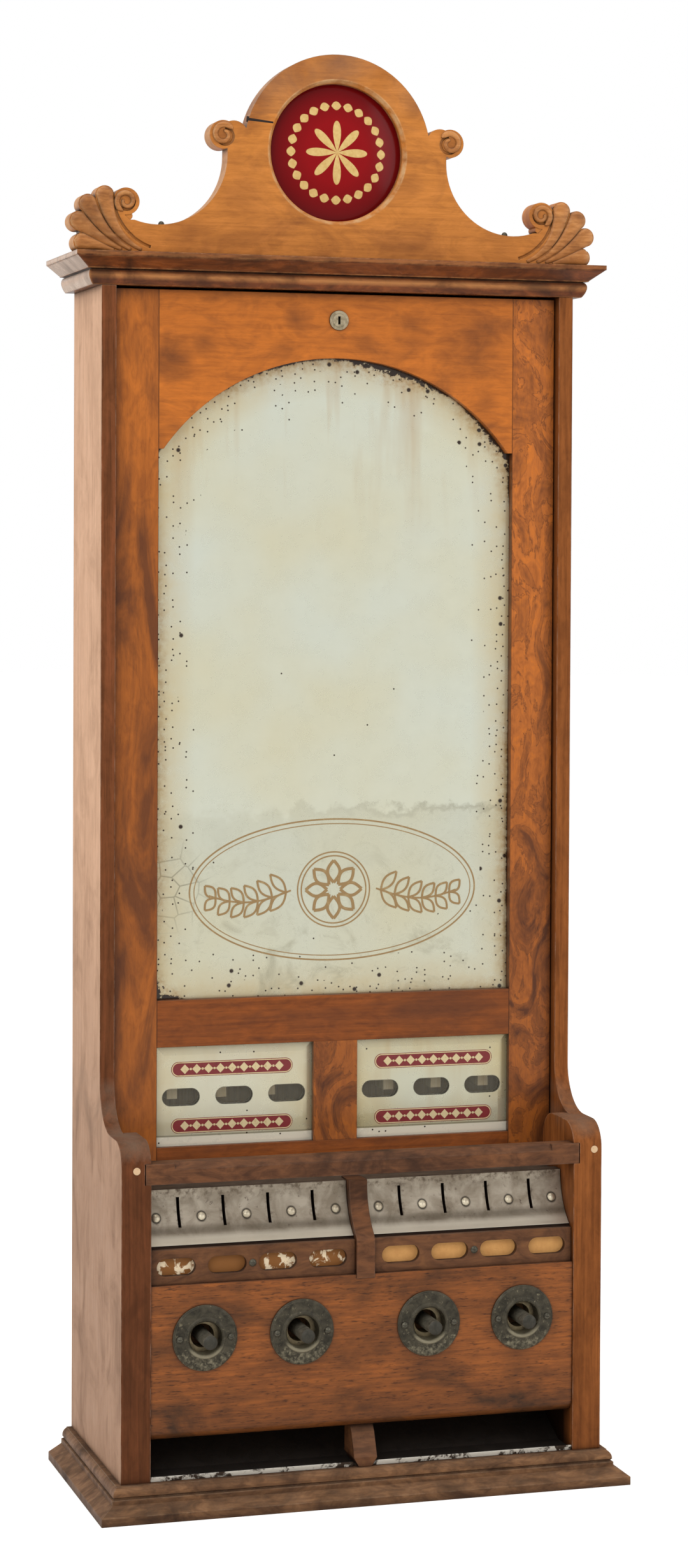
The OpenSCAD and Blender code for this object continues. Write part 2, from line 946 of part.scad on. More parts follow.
module plate_nails() {
    color("#6f6a60")
        both_sides()
            for (x = nail_xs)
                at_nail(x) {
                    translate([0, 0, -nail_len])
                        cylinder(r = nail_r, h = nail_len + 0.2);
                    translate([0, 0, 0.1])
                        intersection() {
                            cylinder(r = nail_head_r, h = nail_head_r);
                            translate([0, 0, -0.73 * nail_head_r])
                                sphere(r = 1.27 * nail_head_r);
                        }
                }
}

// Flat tin channels that lead the coins from the slits down to the rods
module coin_chutes() {
    wall = 0.8;
    half = slit_w / 2 + 0.4;
    depth = 24;
    low = rod_z + guide_h / 2 + 4;
    high = ledge_top - ledge_t - 1;
    color("#9b978c")
        both_sides()
            for (x = slit_xs)
                difference() {
                    block([x - half - wall, x + half + wall], [block_back, block_back + depth], [low, high]);
                    block([x - half, x + half], [block_back - eps, block_back + depth - wall],
                        [low - eps, high + eps]);
                }
}

module cash_box() {
    wall = 1.2;
    half = inner_x - cash_gap;
    front = panel_back + 2;
    color("#77746a")
        difference() {
            block([-half, half], [front, front + cash_d], [shelf_z + shelf_t, shelf_z + shelf_t + cash_h]);
            block([-half + wall, half - wall], [front + wall, front + cash_d - wall],
                [shelf_z + shelf_t + wall, shelf_z + shelf_t + cash_h + eps]);
        }
}

module cash_shelf() {
    color("#5b3a22")
        block([-inner_x, inner_x], [panel_back, panel_back + shelf_d], [shelf_z, shelf_z + shelf_t]);
}

module right_label_strip() {
    mid = (label_xs[1] + label_xs[2]) / 2;
    color("#3f2415")
        difference() {
            block([divider_t / 2 + seat, inner_x - seat], [strip_y, card_y], [strip_z, strip_z + strip_h]);
            along_y(strip_y - eps, card_y + eps)
                for (x = label_xs)
                    translate([x, strip_z + strip_h / 2])
                        pill(label_w, label_h);
            bar_y(mid, strip_z + strip_h / 2, strip_y - eps, card_y + eps, screw_r + snug);
        }
}

module left_label_strip() {
    mirror([1, 0, 0])
        right_label_strip();
}

module label_cards() {
    color("#cdb98c")
        both_sides()
            for (x = label_xs)
                block([x - label_w / 2 - 1.5, x + label_w / 2 + 1.5], [card_y, card_y + card_t],
                    [strip_z + (strip_h - label_h) / 2 - 2, strip_z + (strip_h + label_h) / 2 + 2]);
}

// Slotted round-head screw, its head on y and pointing to the front
module round_screw(x, y, z, head_r, shank_r, len) {
    translate([x, y, z])
        rotate([90, 0, 0])
            difference() {
                union() {
                    translate([0, 0, -len])
                        cylinder(r = shank_r, h = len + 0.1);
                    intersection() {
                        cylinder(r = head_r, h = head_r);
                        translate([0, 0, -head_r * 0.75])
                            sphere(r = head_r * 1.25);
                    }
                }
                translate([-head_r, -0.3, head_r * 0.25])
                    cube([2 * head_r, 0.6, head_r]);
            }
}

// Push rods

// Panel with a rounded lower edge, pierced for the rods
module rod_panel() {
    edge_r = 8;
    color("#8a4a22")
        difference() {
            along_x(-inner_x, inner_x) {
                area([panel_y, panel_z + edge_r], [panel_back, strip_z]);
                area([panel_y + edge_r, panel_z], [panel_back, panel_z + 2 * edge_r]);
                translate([panel_y + edge_r, panel_z + edge_r])
                    circle(r = edge_r);
            }
            for (x = rod_xs) {
                bar_y(x, rod_z, panel_y - eps, panel_back + eps, finger_dia / 2);
                for (side = [-1, 1])
                    bar_y(x + side * screw_x, rod_z, panel_y - eps, panel_y + screw_len - 1, screw_r + snug);
            }
        }
}
screw_x = (finger_dia + rosette_dia) / 4 + 0.8;
screw_r = 1.2;
screw_len = 9;
screw_head_r = 2.2;

flange_len = 5.8;
flange_t = 0.35;

// Dished metal plate round a finger hole, with a rolled lip and a flange that lines the hole
module rosette() {
    inner = finger_dia / 2 - 0.4;
    outer = rosette_dia / 2;
    rotate([90, 0, 0])
        difference() {
            rotate_extrude()
                polygon([
                    [inner, -flange_len],
                    [inner + flange_t, -flange_len],
                    [inner + flange_t, 0],
                    [outer, 0],
                    [outer, rosette_t * 0.35],
                    [outer - 1.2, rosette_t * 0.6],
                    [outer - 4.5, rosette_t * 0.72],
                    [inner + 3, rosette_t * 0.85],
                    [inner + 2.2, rosette_t * 1.02],
                    [inner + 1.4, rosette_t * 1.07],
                    [inner + 0.6, rosette_t * 0.98],
                    [inner + 0.1, rosette_t * 0.75],
                    [inner, rosette_t * 0.5]
                ]);
            for (side = [-1, 1])
                translate([side * screw_x, 0, -eps])
                    cylinder(r = screw_r + snug, h = rosette_t + 2 * eps);
        }
}

module rosettes() {
    color("#55574c")
        for (x = rod_xs)
            translate([x, panel_y, rod_z])
                rosette();
}

// Screws of the plates round the finger holes and of the label strips
module round_screws() {
    mid = (label_xs[1] + label_xs[2]) / 2;
    color("#6b6a5e") {
        for (x = rod_xs)
            for (side = [-1, 1])
                round_screw(x + side * screw_x, panel_y - rosette_t * 0.9, rod_z, screw_head_r, screw_r, screw_len);
        both_sides()
            round_screw(mid, strip_y, strip_z + strip_h / 2, 1.1 * screw_head_r, screw_r, strip_t);
    }
}

// Liners of the finger holes, standing against the guide behind
module rod_sleeves() {
    color("#6b6455")
        for (x = rod_xs)
            difference() {
                bar_y(x, rod_z, panel_y + 6, front_guide_y, finger_dia / 2 - snug);
                bar_y(x, rod_z, panel_y + 6 - eps, front_guide_y + eps, rod_r + 3);
            }
}

module guide(y, t) {
    color("#6b4526")
        difference() {
            block([-inner_x, inner_x], [y, y + t], [rod_z - guide_h / 2, rod_z + guide_h / 2]);
            for (x = rod_xs)
                bar_y(x, rod_z, y - eps, y + t + eps, rod_r + fit);
        }
}

module front_guide() {
    guide(front_guide_y, guide_t);
}

module rear_guide() {
    guide(rear_guide_y, 8);
}

// Turned rod with a rounded tip
module push_rod(k) {
    color("#77756c")
        translate([rod_xs[k - 1], rod_end, rod_z])
            rotate([90, 0, 0])
                intersection() {
                    cylinder(r = rod_r, h = rod_end - rod_tip);
                    translate([0, 0, rod_end - rod_tip - 1.6 * rod_r])
                        union() {
                            sphere(r = 1.6 * rod_r);
                            translate([0, 0, -rod_end + rod_tip])
                                cylinder(r = rod_r, h = rod_end - rod_tip);
                        }
                }
}

// Head clamped on the rod, with an arm that reaches back to a finger in each of two columns
module pusher(k) {
    x = rod_xs[k - 1];
    side = sign(x);
    first = abs(x) > (rod_in_x + rod_out_x) / 2 ? 2 : 0;
    fingers = [side * column_xs[first], side * column_xs[first + 1]];
    color("#8c7442") {
        difference() {
            block([x - head_half, x + head_half], [head_y, spring_y], [rod_z - 9, rod_z + 9]);
            bar_y(x, rod_z, head_y - eps, spring_y + eps, rod_r + snug);
        }
        block([x - arm_w / 2, x + arm_w / 2], [spring_y - arm_t, spring_y], [rod_z + 9, arm_z + arm_t]);
        block([x - arm_w / 2, x + arm_w / 2], [spring_y - arm_t, finger_y + finger_t], [arm_z, arm_z + arm_t]);
        block([min(fingers) - finger_w / 2, max(fingers) + finger_w / 2],
            [finger_y - arm_t + finger_t, finger_y + finger_t], [arm_z, arm_z + arm_t]);
        for (f = fingers)
            block([f - finger_w / 2, f + finger_w / 2], [finger_y, finger_y + finger_t], [arm_z, finger_top]);
    }
}

// Return spring: one tube wound round the rod, closed by flat ends
coil_r = rod_r + 3;
ring_sides = 6;
rings_per_turn = 8;
ring_count = spring_turns * rings_per_turn;
spring_free = spring_len - 2 * seat - wire_dia;
function coil_point(i) =
    let (a = 360 * i / rings_per_turn)
    [coil_r * cos(a), spring_free * i / ring_count, coil_r * sin(a)];
function ring_point(i, j) =
    let (a = 360 * i / rings_per_turn, b = 360 * j / ring_sides)
    coil_point(i) + wire_dia / 2 * [cos(b) * cos(a), sin(b), cos(b) * sin(a)];
coil_gap = min([
    for (i = [0:ring_count - rings_per_turn])
        norm(coil_point(i + rings_per_turn) - coil_point(i))
]) - wire_dia;
echo(least_gap_between_spring_turns = coil_gap);

module rod_spring(k) {
    points = [for (i = [0:ring_count], j = [0:ring_sides - 1]) ring_point(i, j)];
    walls = [
        for (i = [0:ring_count - 1], j = [0:ring_sides - 1], half = [0, 1])
            let (a = i * ring_sides + j, b = i * ring_sides + (j + 1) % ring_sides)
            half == 0 ? [a, a + ring_sides, b] : [b, a + ring_sides, b + ring_sides]
    ];
    last = ring_count * ring_sides;
    caps = [
        for (j = [1:ring_sides - 2], end = [0, 1])
            end == 0 ? [0, j, j + 1] : [last, last + j + 1, last + j]
    ];
    color("#8f8a80")
        translate([rod_xs[k - 1], spring_y + seat + wire_dia / 2, rod_z])
            polyhedron(points, concat(walls, caps));
}

// Columns, chute and tray

// Floor of the columns, slotted from behind for the pushing fingers
module column_floor() {
    color("#a5804f")
        difference() {
            block([-inner_x, inner_x], [floor_y, floor_y + floor_d], [floor_top - floor_t, floor_top]);
            both_sides()
                for (x = column_xs)
                    block([x - finger_w / 2 - 1, x + finger_w / 2 + 1],
                        [finger_y - 1, floor_y + floor_d + eps],
                        [floor_top - floor_t - eps, floor_top + eps]);
        }
}

// Thin boards between the columns, fixed to the back board.
// Those behind the panes have a nose that shows in the sight windows, and liners stand at the side boards.
module partitions() {
    liner_x = label_xs[3] + label_pitch / 2 - partition_t / 2;
    color("#c2a271")
        both_sides() {
            for (x = partition_xs)
                block([x - partition_t / 2, x + partition_t / 2], [partition_y, inside_y], [partition_z, partition_top]);
            for (k = [1:3])
                block([partition_xs[k] - partition_t / 2, partition_xs[k] + partition_t / 2],
                    [nose_y, partition_y + eps], [partition_z, nose_top]);
            block([liner_x, inner_x], [partition_y, inside_y], [partition_z, partition_top]);
        }
}

// Bent strip: its middle line, given the thickness on both sides
function along(path, i) = let (n = len(path) - 1) path[min(i + 1, n)] - path[max(i - 1, 0)];
function left_of(v) = [-v.y, v.x] / norm(v);
function strip_edge(path, d) = [for (i = [0:len(path) - 1]) path[i] + d * left_of(along(path, i))];
function reversed(list) = [for (i = [len(list) - 1:-1:0]) list[i]];

// Tin chute from behind the columns, down the back board and forward over the plinth
module packet_chute() {
    low = plinth_h + tin_t / 2 + 0.1;
    wall = inside_y - tin_t / 2 - 0.1;
    front = lower_y + 1.2;
    path = [
        [front, low + 2.4],
        [front + 0.6, low],
        [panel_back + 12, low],
        [wall - 24, low + 40],
        [wall - 8, low + 54],
        [wall, low + 76],
        [wall, floor_top - floor_t]
    ];
    color("#b9b6aa")
        difference() {
            along_x(-inner_x + seat, inner_x - seat)
                polygon(concat(strip_edge(path, tin_t / 2), reversed(strip_edge(path, -tin_t / 2))));
            block([-parting_x - 0.4, parting_x + 0.4], [lower_y - eps, lower_y + parting_toe + 0.4], [plinth_h - eps, plinth_h + 8]);
        }
}

// Block that parts the delivery mouth in two
module delivery_block() {
    low = plinth_h + 0.1;
    front = lower_y - 0.8;
    heel = panel_back + 8;
    color("#5a341c")
        intersection() {
            along_x(-parting_x, parting_x)
                polygon([
                    [front, low],
                    [front, low + 6],
                    [front + 6.5, low + 20.5],
                    [front + 10.5, panel_z],
                    [heel, panel_z],
                    [heel, mouth_floor + 0.2],
                    [lower_y + parting_toe, mouth_floor + 0.2],
                    [lower_y + parting_toe, low]
                ]);
            along_y(front - eps, heel + eps)
                polygon([
                    [-parting_x, panel_z + eps],
                    [parting_x, panel_z + eps],
                    [parting_x, low + 5.5],
                    [parting_x - 3.5, low - eps],
                    [3.5 - parting_x, low - eps],
                    [-parting_x, low + 5.5]
                ]);
        }
}
parting_x = 7.5;
parting_toe = 3.8;

plinth();
left_side();
right_side();
back_board();
cornice();
crest();
medallion();
medallion_back();
left_stile();
right_stile();
top_rail();
mid_rail();
bottom_rail();
mullion();
door_pivots();
mirror_glass();
mirror_back();
left_pane();
right_pane();
pane_backs();
lock_barrel();
lock_plug();
lock_cam();
lock_keeper();
front_rail();
ledge();
centre_divider();
left_coin_block();
right_coin_block();
left_coin_plate();
right_coin_plate();
plate_nails();
coin_chutes();
cash_box();
cash_shelf();
left_label_strip();
right_label_strip();
label_cards();
rod_panel();
rosettes();
round_screws();
rod_sleeves();
front_guide();
rear_guide();
for (k = [1:4]) {
    push_rod(k);
    pusher(k);
    rod_spring(k);
}
column_floor();
partitions();
packet_chute();
delivery_block();
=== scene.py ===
import math
from functools import partial

import bmesh
import bpy
from mathutils import Matrix, Vector


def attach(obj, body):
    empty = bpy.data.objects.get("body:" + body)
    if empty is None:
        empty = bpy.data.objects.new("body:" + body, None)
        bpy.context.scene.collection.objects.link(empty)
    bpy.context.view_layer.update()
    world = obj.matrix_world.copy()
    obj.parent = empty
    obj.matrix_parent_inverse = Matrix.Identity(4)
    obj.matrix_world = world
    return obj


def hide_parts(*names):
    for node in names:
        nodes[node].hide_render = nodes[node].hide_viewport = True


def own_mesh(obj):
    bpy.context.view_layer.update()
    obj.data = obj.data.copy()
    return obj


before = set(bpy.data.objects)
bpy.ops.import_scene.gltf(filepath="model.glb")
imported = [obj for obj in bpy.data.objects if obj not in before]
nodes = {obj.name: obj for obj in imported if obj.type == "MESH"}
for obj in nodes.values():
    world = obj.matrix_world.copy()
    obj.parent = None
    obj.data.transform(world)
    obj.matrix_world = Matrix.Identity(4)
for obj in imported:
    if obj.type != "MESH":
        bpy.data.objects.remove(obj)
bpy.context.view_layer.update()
print("frame loaded:", len(nodes), "nodes")

mm = 0.001
perMetre = 1000.0  # a pattern of n mm comes perMetre / n times in a metre


def linear(hexColour):  # sRGB hex to linear
    parts = [int(hexColour[k:k + 2], 16) / 255 for k in (1, 3, 5)]
    return [c / 12.92 if c <= 0.04045 else ((c + 0.055) / 1.055) ** 2.4 for c in parts] + [1.0]


# Adds a node, sets it up and gives back one output. A socket gets a link, a value or a hex colour.
def addNode(tree, kind, links=None, out=0, stops=(), **settings):
    node = tree.nodes.new("ShaderNode" + kind)
    for key, value in settings.items():
        setattr(node, key, value)
    for socket, value in (links or {}).items():
        if isinstance(value, bpy.types.NodeSocket):
            tree.links.new(value, node.inputs[socket])
        else:
            node.inputs[socket].default_value = linear(value) if isinstance(value, str) else value
    for k, (spot, colour) in enumerate(stops):
        stop = node.color_ramp.elements[k] if k < 2 else node.color_ramp.elements.new(spot)
        stop.position = spot
        stop.color = linear(colour)
    return node.outputs[out] if len(node.outputs) else None


def newMaterial(name):  # empty material, with addNode bound to its tree
    material = bpy.data.materials.new(name)
    material.use_nodes = True
    material.node_tree.nodes.clear()
    return material, partial(addNode, material.node_tree)


markEdge = {"wander": -3, "outer": -0.3, "inner": -1.6}  # soft ragged edge of a stain or scuff, in its radii


# Shellacked hardwood, planed and hand rubbed: soft streaks along the board, a mottled figure, short dark pores, old
# shellac that has darkened in blotches, grime and painted shade in the corners, a pale faded finish with painted
# sheen on the outward sides, and thin finish on the edges. The pores are drawn coarser than real ones, so that they
# show.
def varnishedWood(name, look):
    material, add = newMaterial(name)
    place = add("TexCoord", out="Object")
    facing = place.node.outputs["Normal"]
    hand = add("SeparateXYZ", {0: place}, out="X")
    height = hand.node.outputs["Z"]
    cutPlace = place
    if "boards" in look:  # butted boards, each cut from another part of the plank
        boards = look["boards"]
        count = add("Math", {0: hand, 1: boards["width"] * mm}, operation="DIVIDE")
        number = add("Math", {0: count}, operation="FLOOR")
        cut = add("TexWhiteNoise", {"W": number}, out="Color", noise_dimensions="1D")
        cutPlace = add("VectorMath", {0: place, 1: cut}, operation="ADD")
    pattern = {}
    for key, (across, along, detail, twist) in look["patterns"].items():  # sizes across and along the grain
        wide, far = perMetre / across, perMetre / along
        stretch = (wide, wide, far) if look["grain"] == "upright" else (far, wide, wide)
        laid = add("Mapping", {"Vector": cutPlace, "Scale": stretch, "Location": look["shift"]})
        pattern[key] = add("TexNoise", {"Vector": laid, "Scale": 1.0, "Detail": detail, "Roughness": 0.6,
                                        "Distortion": twist})

    figured = add("Mix", {0: look["figure"], 2: pattern["streaks"], 3: pattern["mottle"]}, data_type="FLOAT")
    tone = add("MapRange", {"Value": figured, "From Min": 0.37, "From Max": 0.63})
    colour = add("ValToRGB", {"Fac": tone}, stops=[(0.0, look["light"]), (0.5, look["mid"]), (1.0, look["deep"])])

    # faded finish and painted sheen on the faces that look outward at the two sides
    sideways = add("SeparateXYZ", {0: facing}, out="X")
    handSign = add("Math", {0: hand}, operation="SIGN")
    outward = add("Math", {0: sideways, 1: handSign}, operation="MULTIPLY")
    fadeAndSheenMask = add("MapRange", {"Value": outward, "From Min": 0.25, "From Max": 0.7, "To Max": look["sideFade"]})
    faded = add("Mix", {0: tone, 6: look["faded"], 7: look["fadedDeep"]}, out=2, data_type="RGBA")
    coats = [(fadeAndSheenMask, faded)]  # each mask with its tone, laid over each other at the end

    # blotches, a darker foot, and single stains and scuffs
    low = add("MapRange", {"Value": height, "From Min": look["fadeTop"] * mm, "From Max": look["fadeFoot"] * mm,
                           "To Max": look["footDark"]})
    blotch = add("MapRange", {"Value": pattern["cloud"], "From Min": look["cloudFrom"], "From Max": look["cloudTo"],
                              "To Max": look["cloudAmount"]})
    thinned = add("MapRange", {"Value": fadeAndSheenMask, "To Min": 1.0, "To Max": look["fadedCloud"]})
    thinBlotch = add("Math", {0: blotch, 1: thinned}, operation="MULTIPLY")
    shade = add("Math", {0: thinBlotch, 1: low}, operation="ADD", use_clamp=True)
    marks = {"stains": shade, "scuffs": 0.0}
    for kind in marks:
        for x, z, radius, amount in look[kind]:
            outer, inner, wander = (markEdge[key] * radius * mm for key in ("outer", "inner", "wander"))
            offset = add("VectorMath", {0: place, 1: (x * mm, 0, z * mm)}, operation="SUBTRACT")
            inPlane = add("VectorMath", {0: offset, 1: (1, 0, 1)}, operation="MULTIPLY")
            away = add("VectorMath", {0: inPlane}, out="Value", operation="LENGTH")
            ragged = add("Math", {0: pattern["cloud"], 1: wander, 2: away}, operation="MULTIPLY_ADD")
            mark = add("MapRange", {"Value": ragged, "From Min": outer, "From Max": inner, "To Max": amount})
            marks[kind] = add("Math", {0: marks[kind], 1: mark}, operation="MAXIMUM")
    coats.append((marks["stains"], look["dark"]))
    if look["scuffs"]:
        coats.append((marks["scuffs"], look["scuffed"]))
    for z, half, amount in look["bands"]:  # rubbed band along a moulding, partly a painted highlight, patchy, and fainter on the faded, sheen-painted faces
        offBand = add("Math", {0: height, 1: z * mm}, operation="SUBTRACT")
        nearBand = add("Math", {0: offBand}, operation="ABSOLUTE")
        band = add("MapRange", {"Value": nearBand, "From Min": half * mm, "From Max": 0.0, "To Max": amount})
        patchy = add("MapRange", {"Value": pattern["cloud"], "From Min": 0.62, "From Max": 0.44, "To Min": 0.35,
                                  "To Max": 1.0})
        rubAndHighlight = add("Math", {0: band, 1: patchy}, operation="MULTIPLY")
        coats.append((add("Math", {0: rubAndHighlight, 1: thinned}, operation="MULTIPLY"), look["bare"]))
    if "veins" in look:  # thin dark lines of a burr figure
        offLine = add("Math", {0: pattern["cloud"], 1: 0.5}, operation="SUBTRACT")
        nearLine = add("Math", {0: offLine}, operation="ABSOLUTE")
        vein = add("MapRange", {"Value": nearLine, "From Min": 0.016, "From Max": 0.004, "To Max": look["veins"]})
        coats.append((vein, look["dark"]))
    poreMask = add("MapRange", {"Value": pattern["pores"], "From Min": 0.56, "From Max": 0.74,
                                "To Max": look["poreAmount"]})
    coats.append((poreMask, look["grime"]))
    upward = add("MapRange", {"Value": sideways.node.outputs["Z"], "From Min": 0.3, "From Max": 1.0,
                              "To Max": look["dust"]})
    dustMask = add("Math", {0: upward, 1: pattern["dirt"]}, operation="MULTIPLY")
    coats.append((dustMask, look["dusty"]))

    # wear where the rounded normal leaves the flat one, grime and painted shade where the corner is closed
    rounded = add("Bevel", {"Radius": look["edge"] * mm}, samples=4)
    flat = add("NewGeometry", out="True Normal")
    agree = add("VectorMath", {0: rounded, 1: flat}, out="Value", operation="DOT_PRODUCT")
    corner = add("MapRange", {"Value": agree, "From Min": 0.97, "From Max": 0.72, "To Max": look["wear"]})
    worn = add("MapRange", {"Value": pattern["dirt"], "From Min": 0.38, "From Max": 0.62})
    wornMask = add("Math", {0: corner, 1: worn}, operation="MULTIPLY")
    coats.append((wornMask, look["bare"]))
    # grime and painted shade: darker where ambient occlusion finds the corner closed
    openness = add("AmbientOcclusion", {"Distance": look["grimeReach"] * mm}, out="AO", samples=4)
    closed = add("MapRange", {"Value": openness, "From Min": 0.85, "From Max": 0.35, "To Max": look["grimeAmount"]})
    coats.append((closed, look["grime"]))

    if "joints" in look:  # hairline joint where stile and rail meet
        joint = look["joints"]
        reach = add("Math", {0: hand}, operation="ABSOLUTE")
        fromJoint = add("Math", {0: reach, 1: joint["x"] * mm}, operation="SUBTRACT")
        gap = add("Math", {0: fromJoint}, operation="ABSOLUTE")
        line = add("MapRange", {"Value": gap, "From Min": joint["half"] * mm, "From Max": joint["core"] * mm,
                                "To Max": joint["amount"]})
        coats.append((line, look["grime"]))
    if "soot" in look:  # inner faces inside the delivery mouth are black with soot and painted shade
        soot = look["soot"]
        inner = add("MapRange", {"Value": outward, "From Min": -0.3, "From Max": -0.7})
        deep = add("MapRange", {"Value": hand.node.outputs["Y"], "From Min": soot["behind"] * mm,
                                "From Max": (soot["behind"] + soot["fadeIn"]) * mm})
        under = add("MapRange", {"Value": height, "From Min": (soot["under"] + soot["fadeUp"]) * mm,
                                 "From Max": soot["under"] * mm, "To Max": soot["amount"]})
        inMouth = add("Math", {0: deep, 1: under}, operation="MULTIPLY")
        coats.append((add("Math", {0: inner, 1: inMouth}, operation="MULTIPLY"), soot["tone"]))
    if "boards" in look:  # dark line between two boards
        within = add("Math", {0: count}, operation="FRACT")
        offMiddle = add("Math", {0: within, 1: 0.5}, operation="SUBTRACT")
        toJoint = add("Math", {0: offMiddle}, operation="ABSOLUTE")
        seam = add("MapRange", {"Value": toJoint, "From Min": 0.5 - boards["half"] / boards["width"],
                                "From Max": 0.5 - boards["core"] / boards["width"], "To Max": boards["amount"]})
        coats.append((seam, look["grime"]))
    if "rim" in look:  # pale wood where the edge of the round hole is rubbed
        rim = look["rim"]
        centred = add("VectorMath", {0: place, 1: (0, rim["face"] * mm, rim["z"] * mm)}, operation="SUBTRACT")
        radius = add("VectorMath", {0: centred}, out="Value", operation="LENGTH")
        past = add("Math", {0: radius, 1: rim["radius"] * mm}, operation="SUBTRACT")
        near = add("Math", {0: past}, operation="ABSOLUTE")
        rubbed = add("MapRange", {"Value": near, "From Min": rim["half"] * mm, "From Max": rim["core"] * mm,
                                  "To Max": rim["amount"]})
        coats.append((add("Math", {0: rubbed, 1: worn}, operation="MULTIPLY"), look["bare"]))

    for mask, coat in coats:
        colour = add("Mix", {0: mask, 6: colour, 7: coat}, out=2, data_type="RGBA")
    rough = add("MapRange", {"Value": pattern["cloud"], "From Min": 0.3, "From Max": 0.7, "To Min": look["gloss"][0],
                             "To Max": look["gloss"][1]})
    dulled = add("Math", {0: upward, 1: 1.2, 2: rough}, operation="MULTIPLY_ADD", use_clamp=True)  # dusty top faces
    relief = add("Math", {0: pattern["pores"], 1: pattern["streaks"]}, operation="ADD")
    bumps = add("Bump", {"Height": relief, "Normal": rounded, "Strength": 0.25, "Distance": 0.25 * mm})
    shader = add("BsdfPrincipled", {"Base Color": colour, "Roughness": dulled, "Normal": bumps,
                                    "Specular IOR Level": look["specular"], "Coat Weight": look["coat"],
                                    "Coat Roughness": 0.28})
    add("OutputMaterial", {"Surface": shader})
    return material


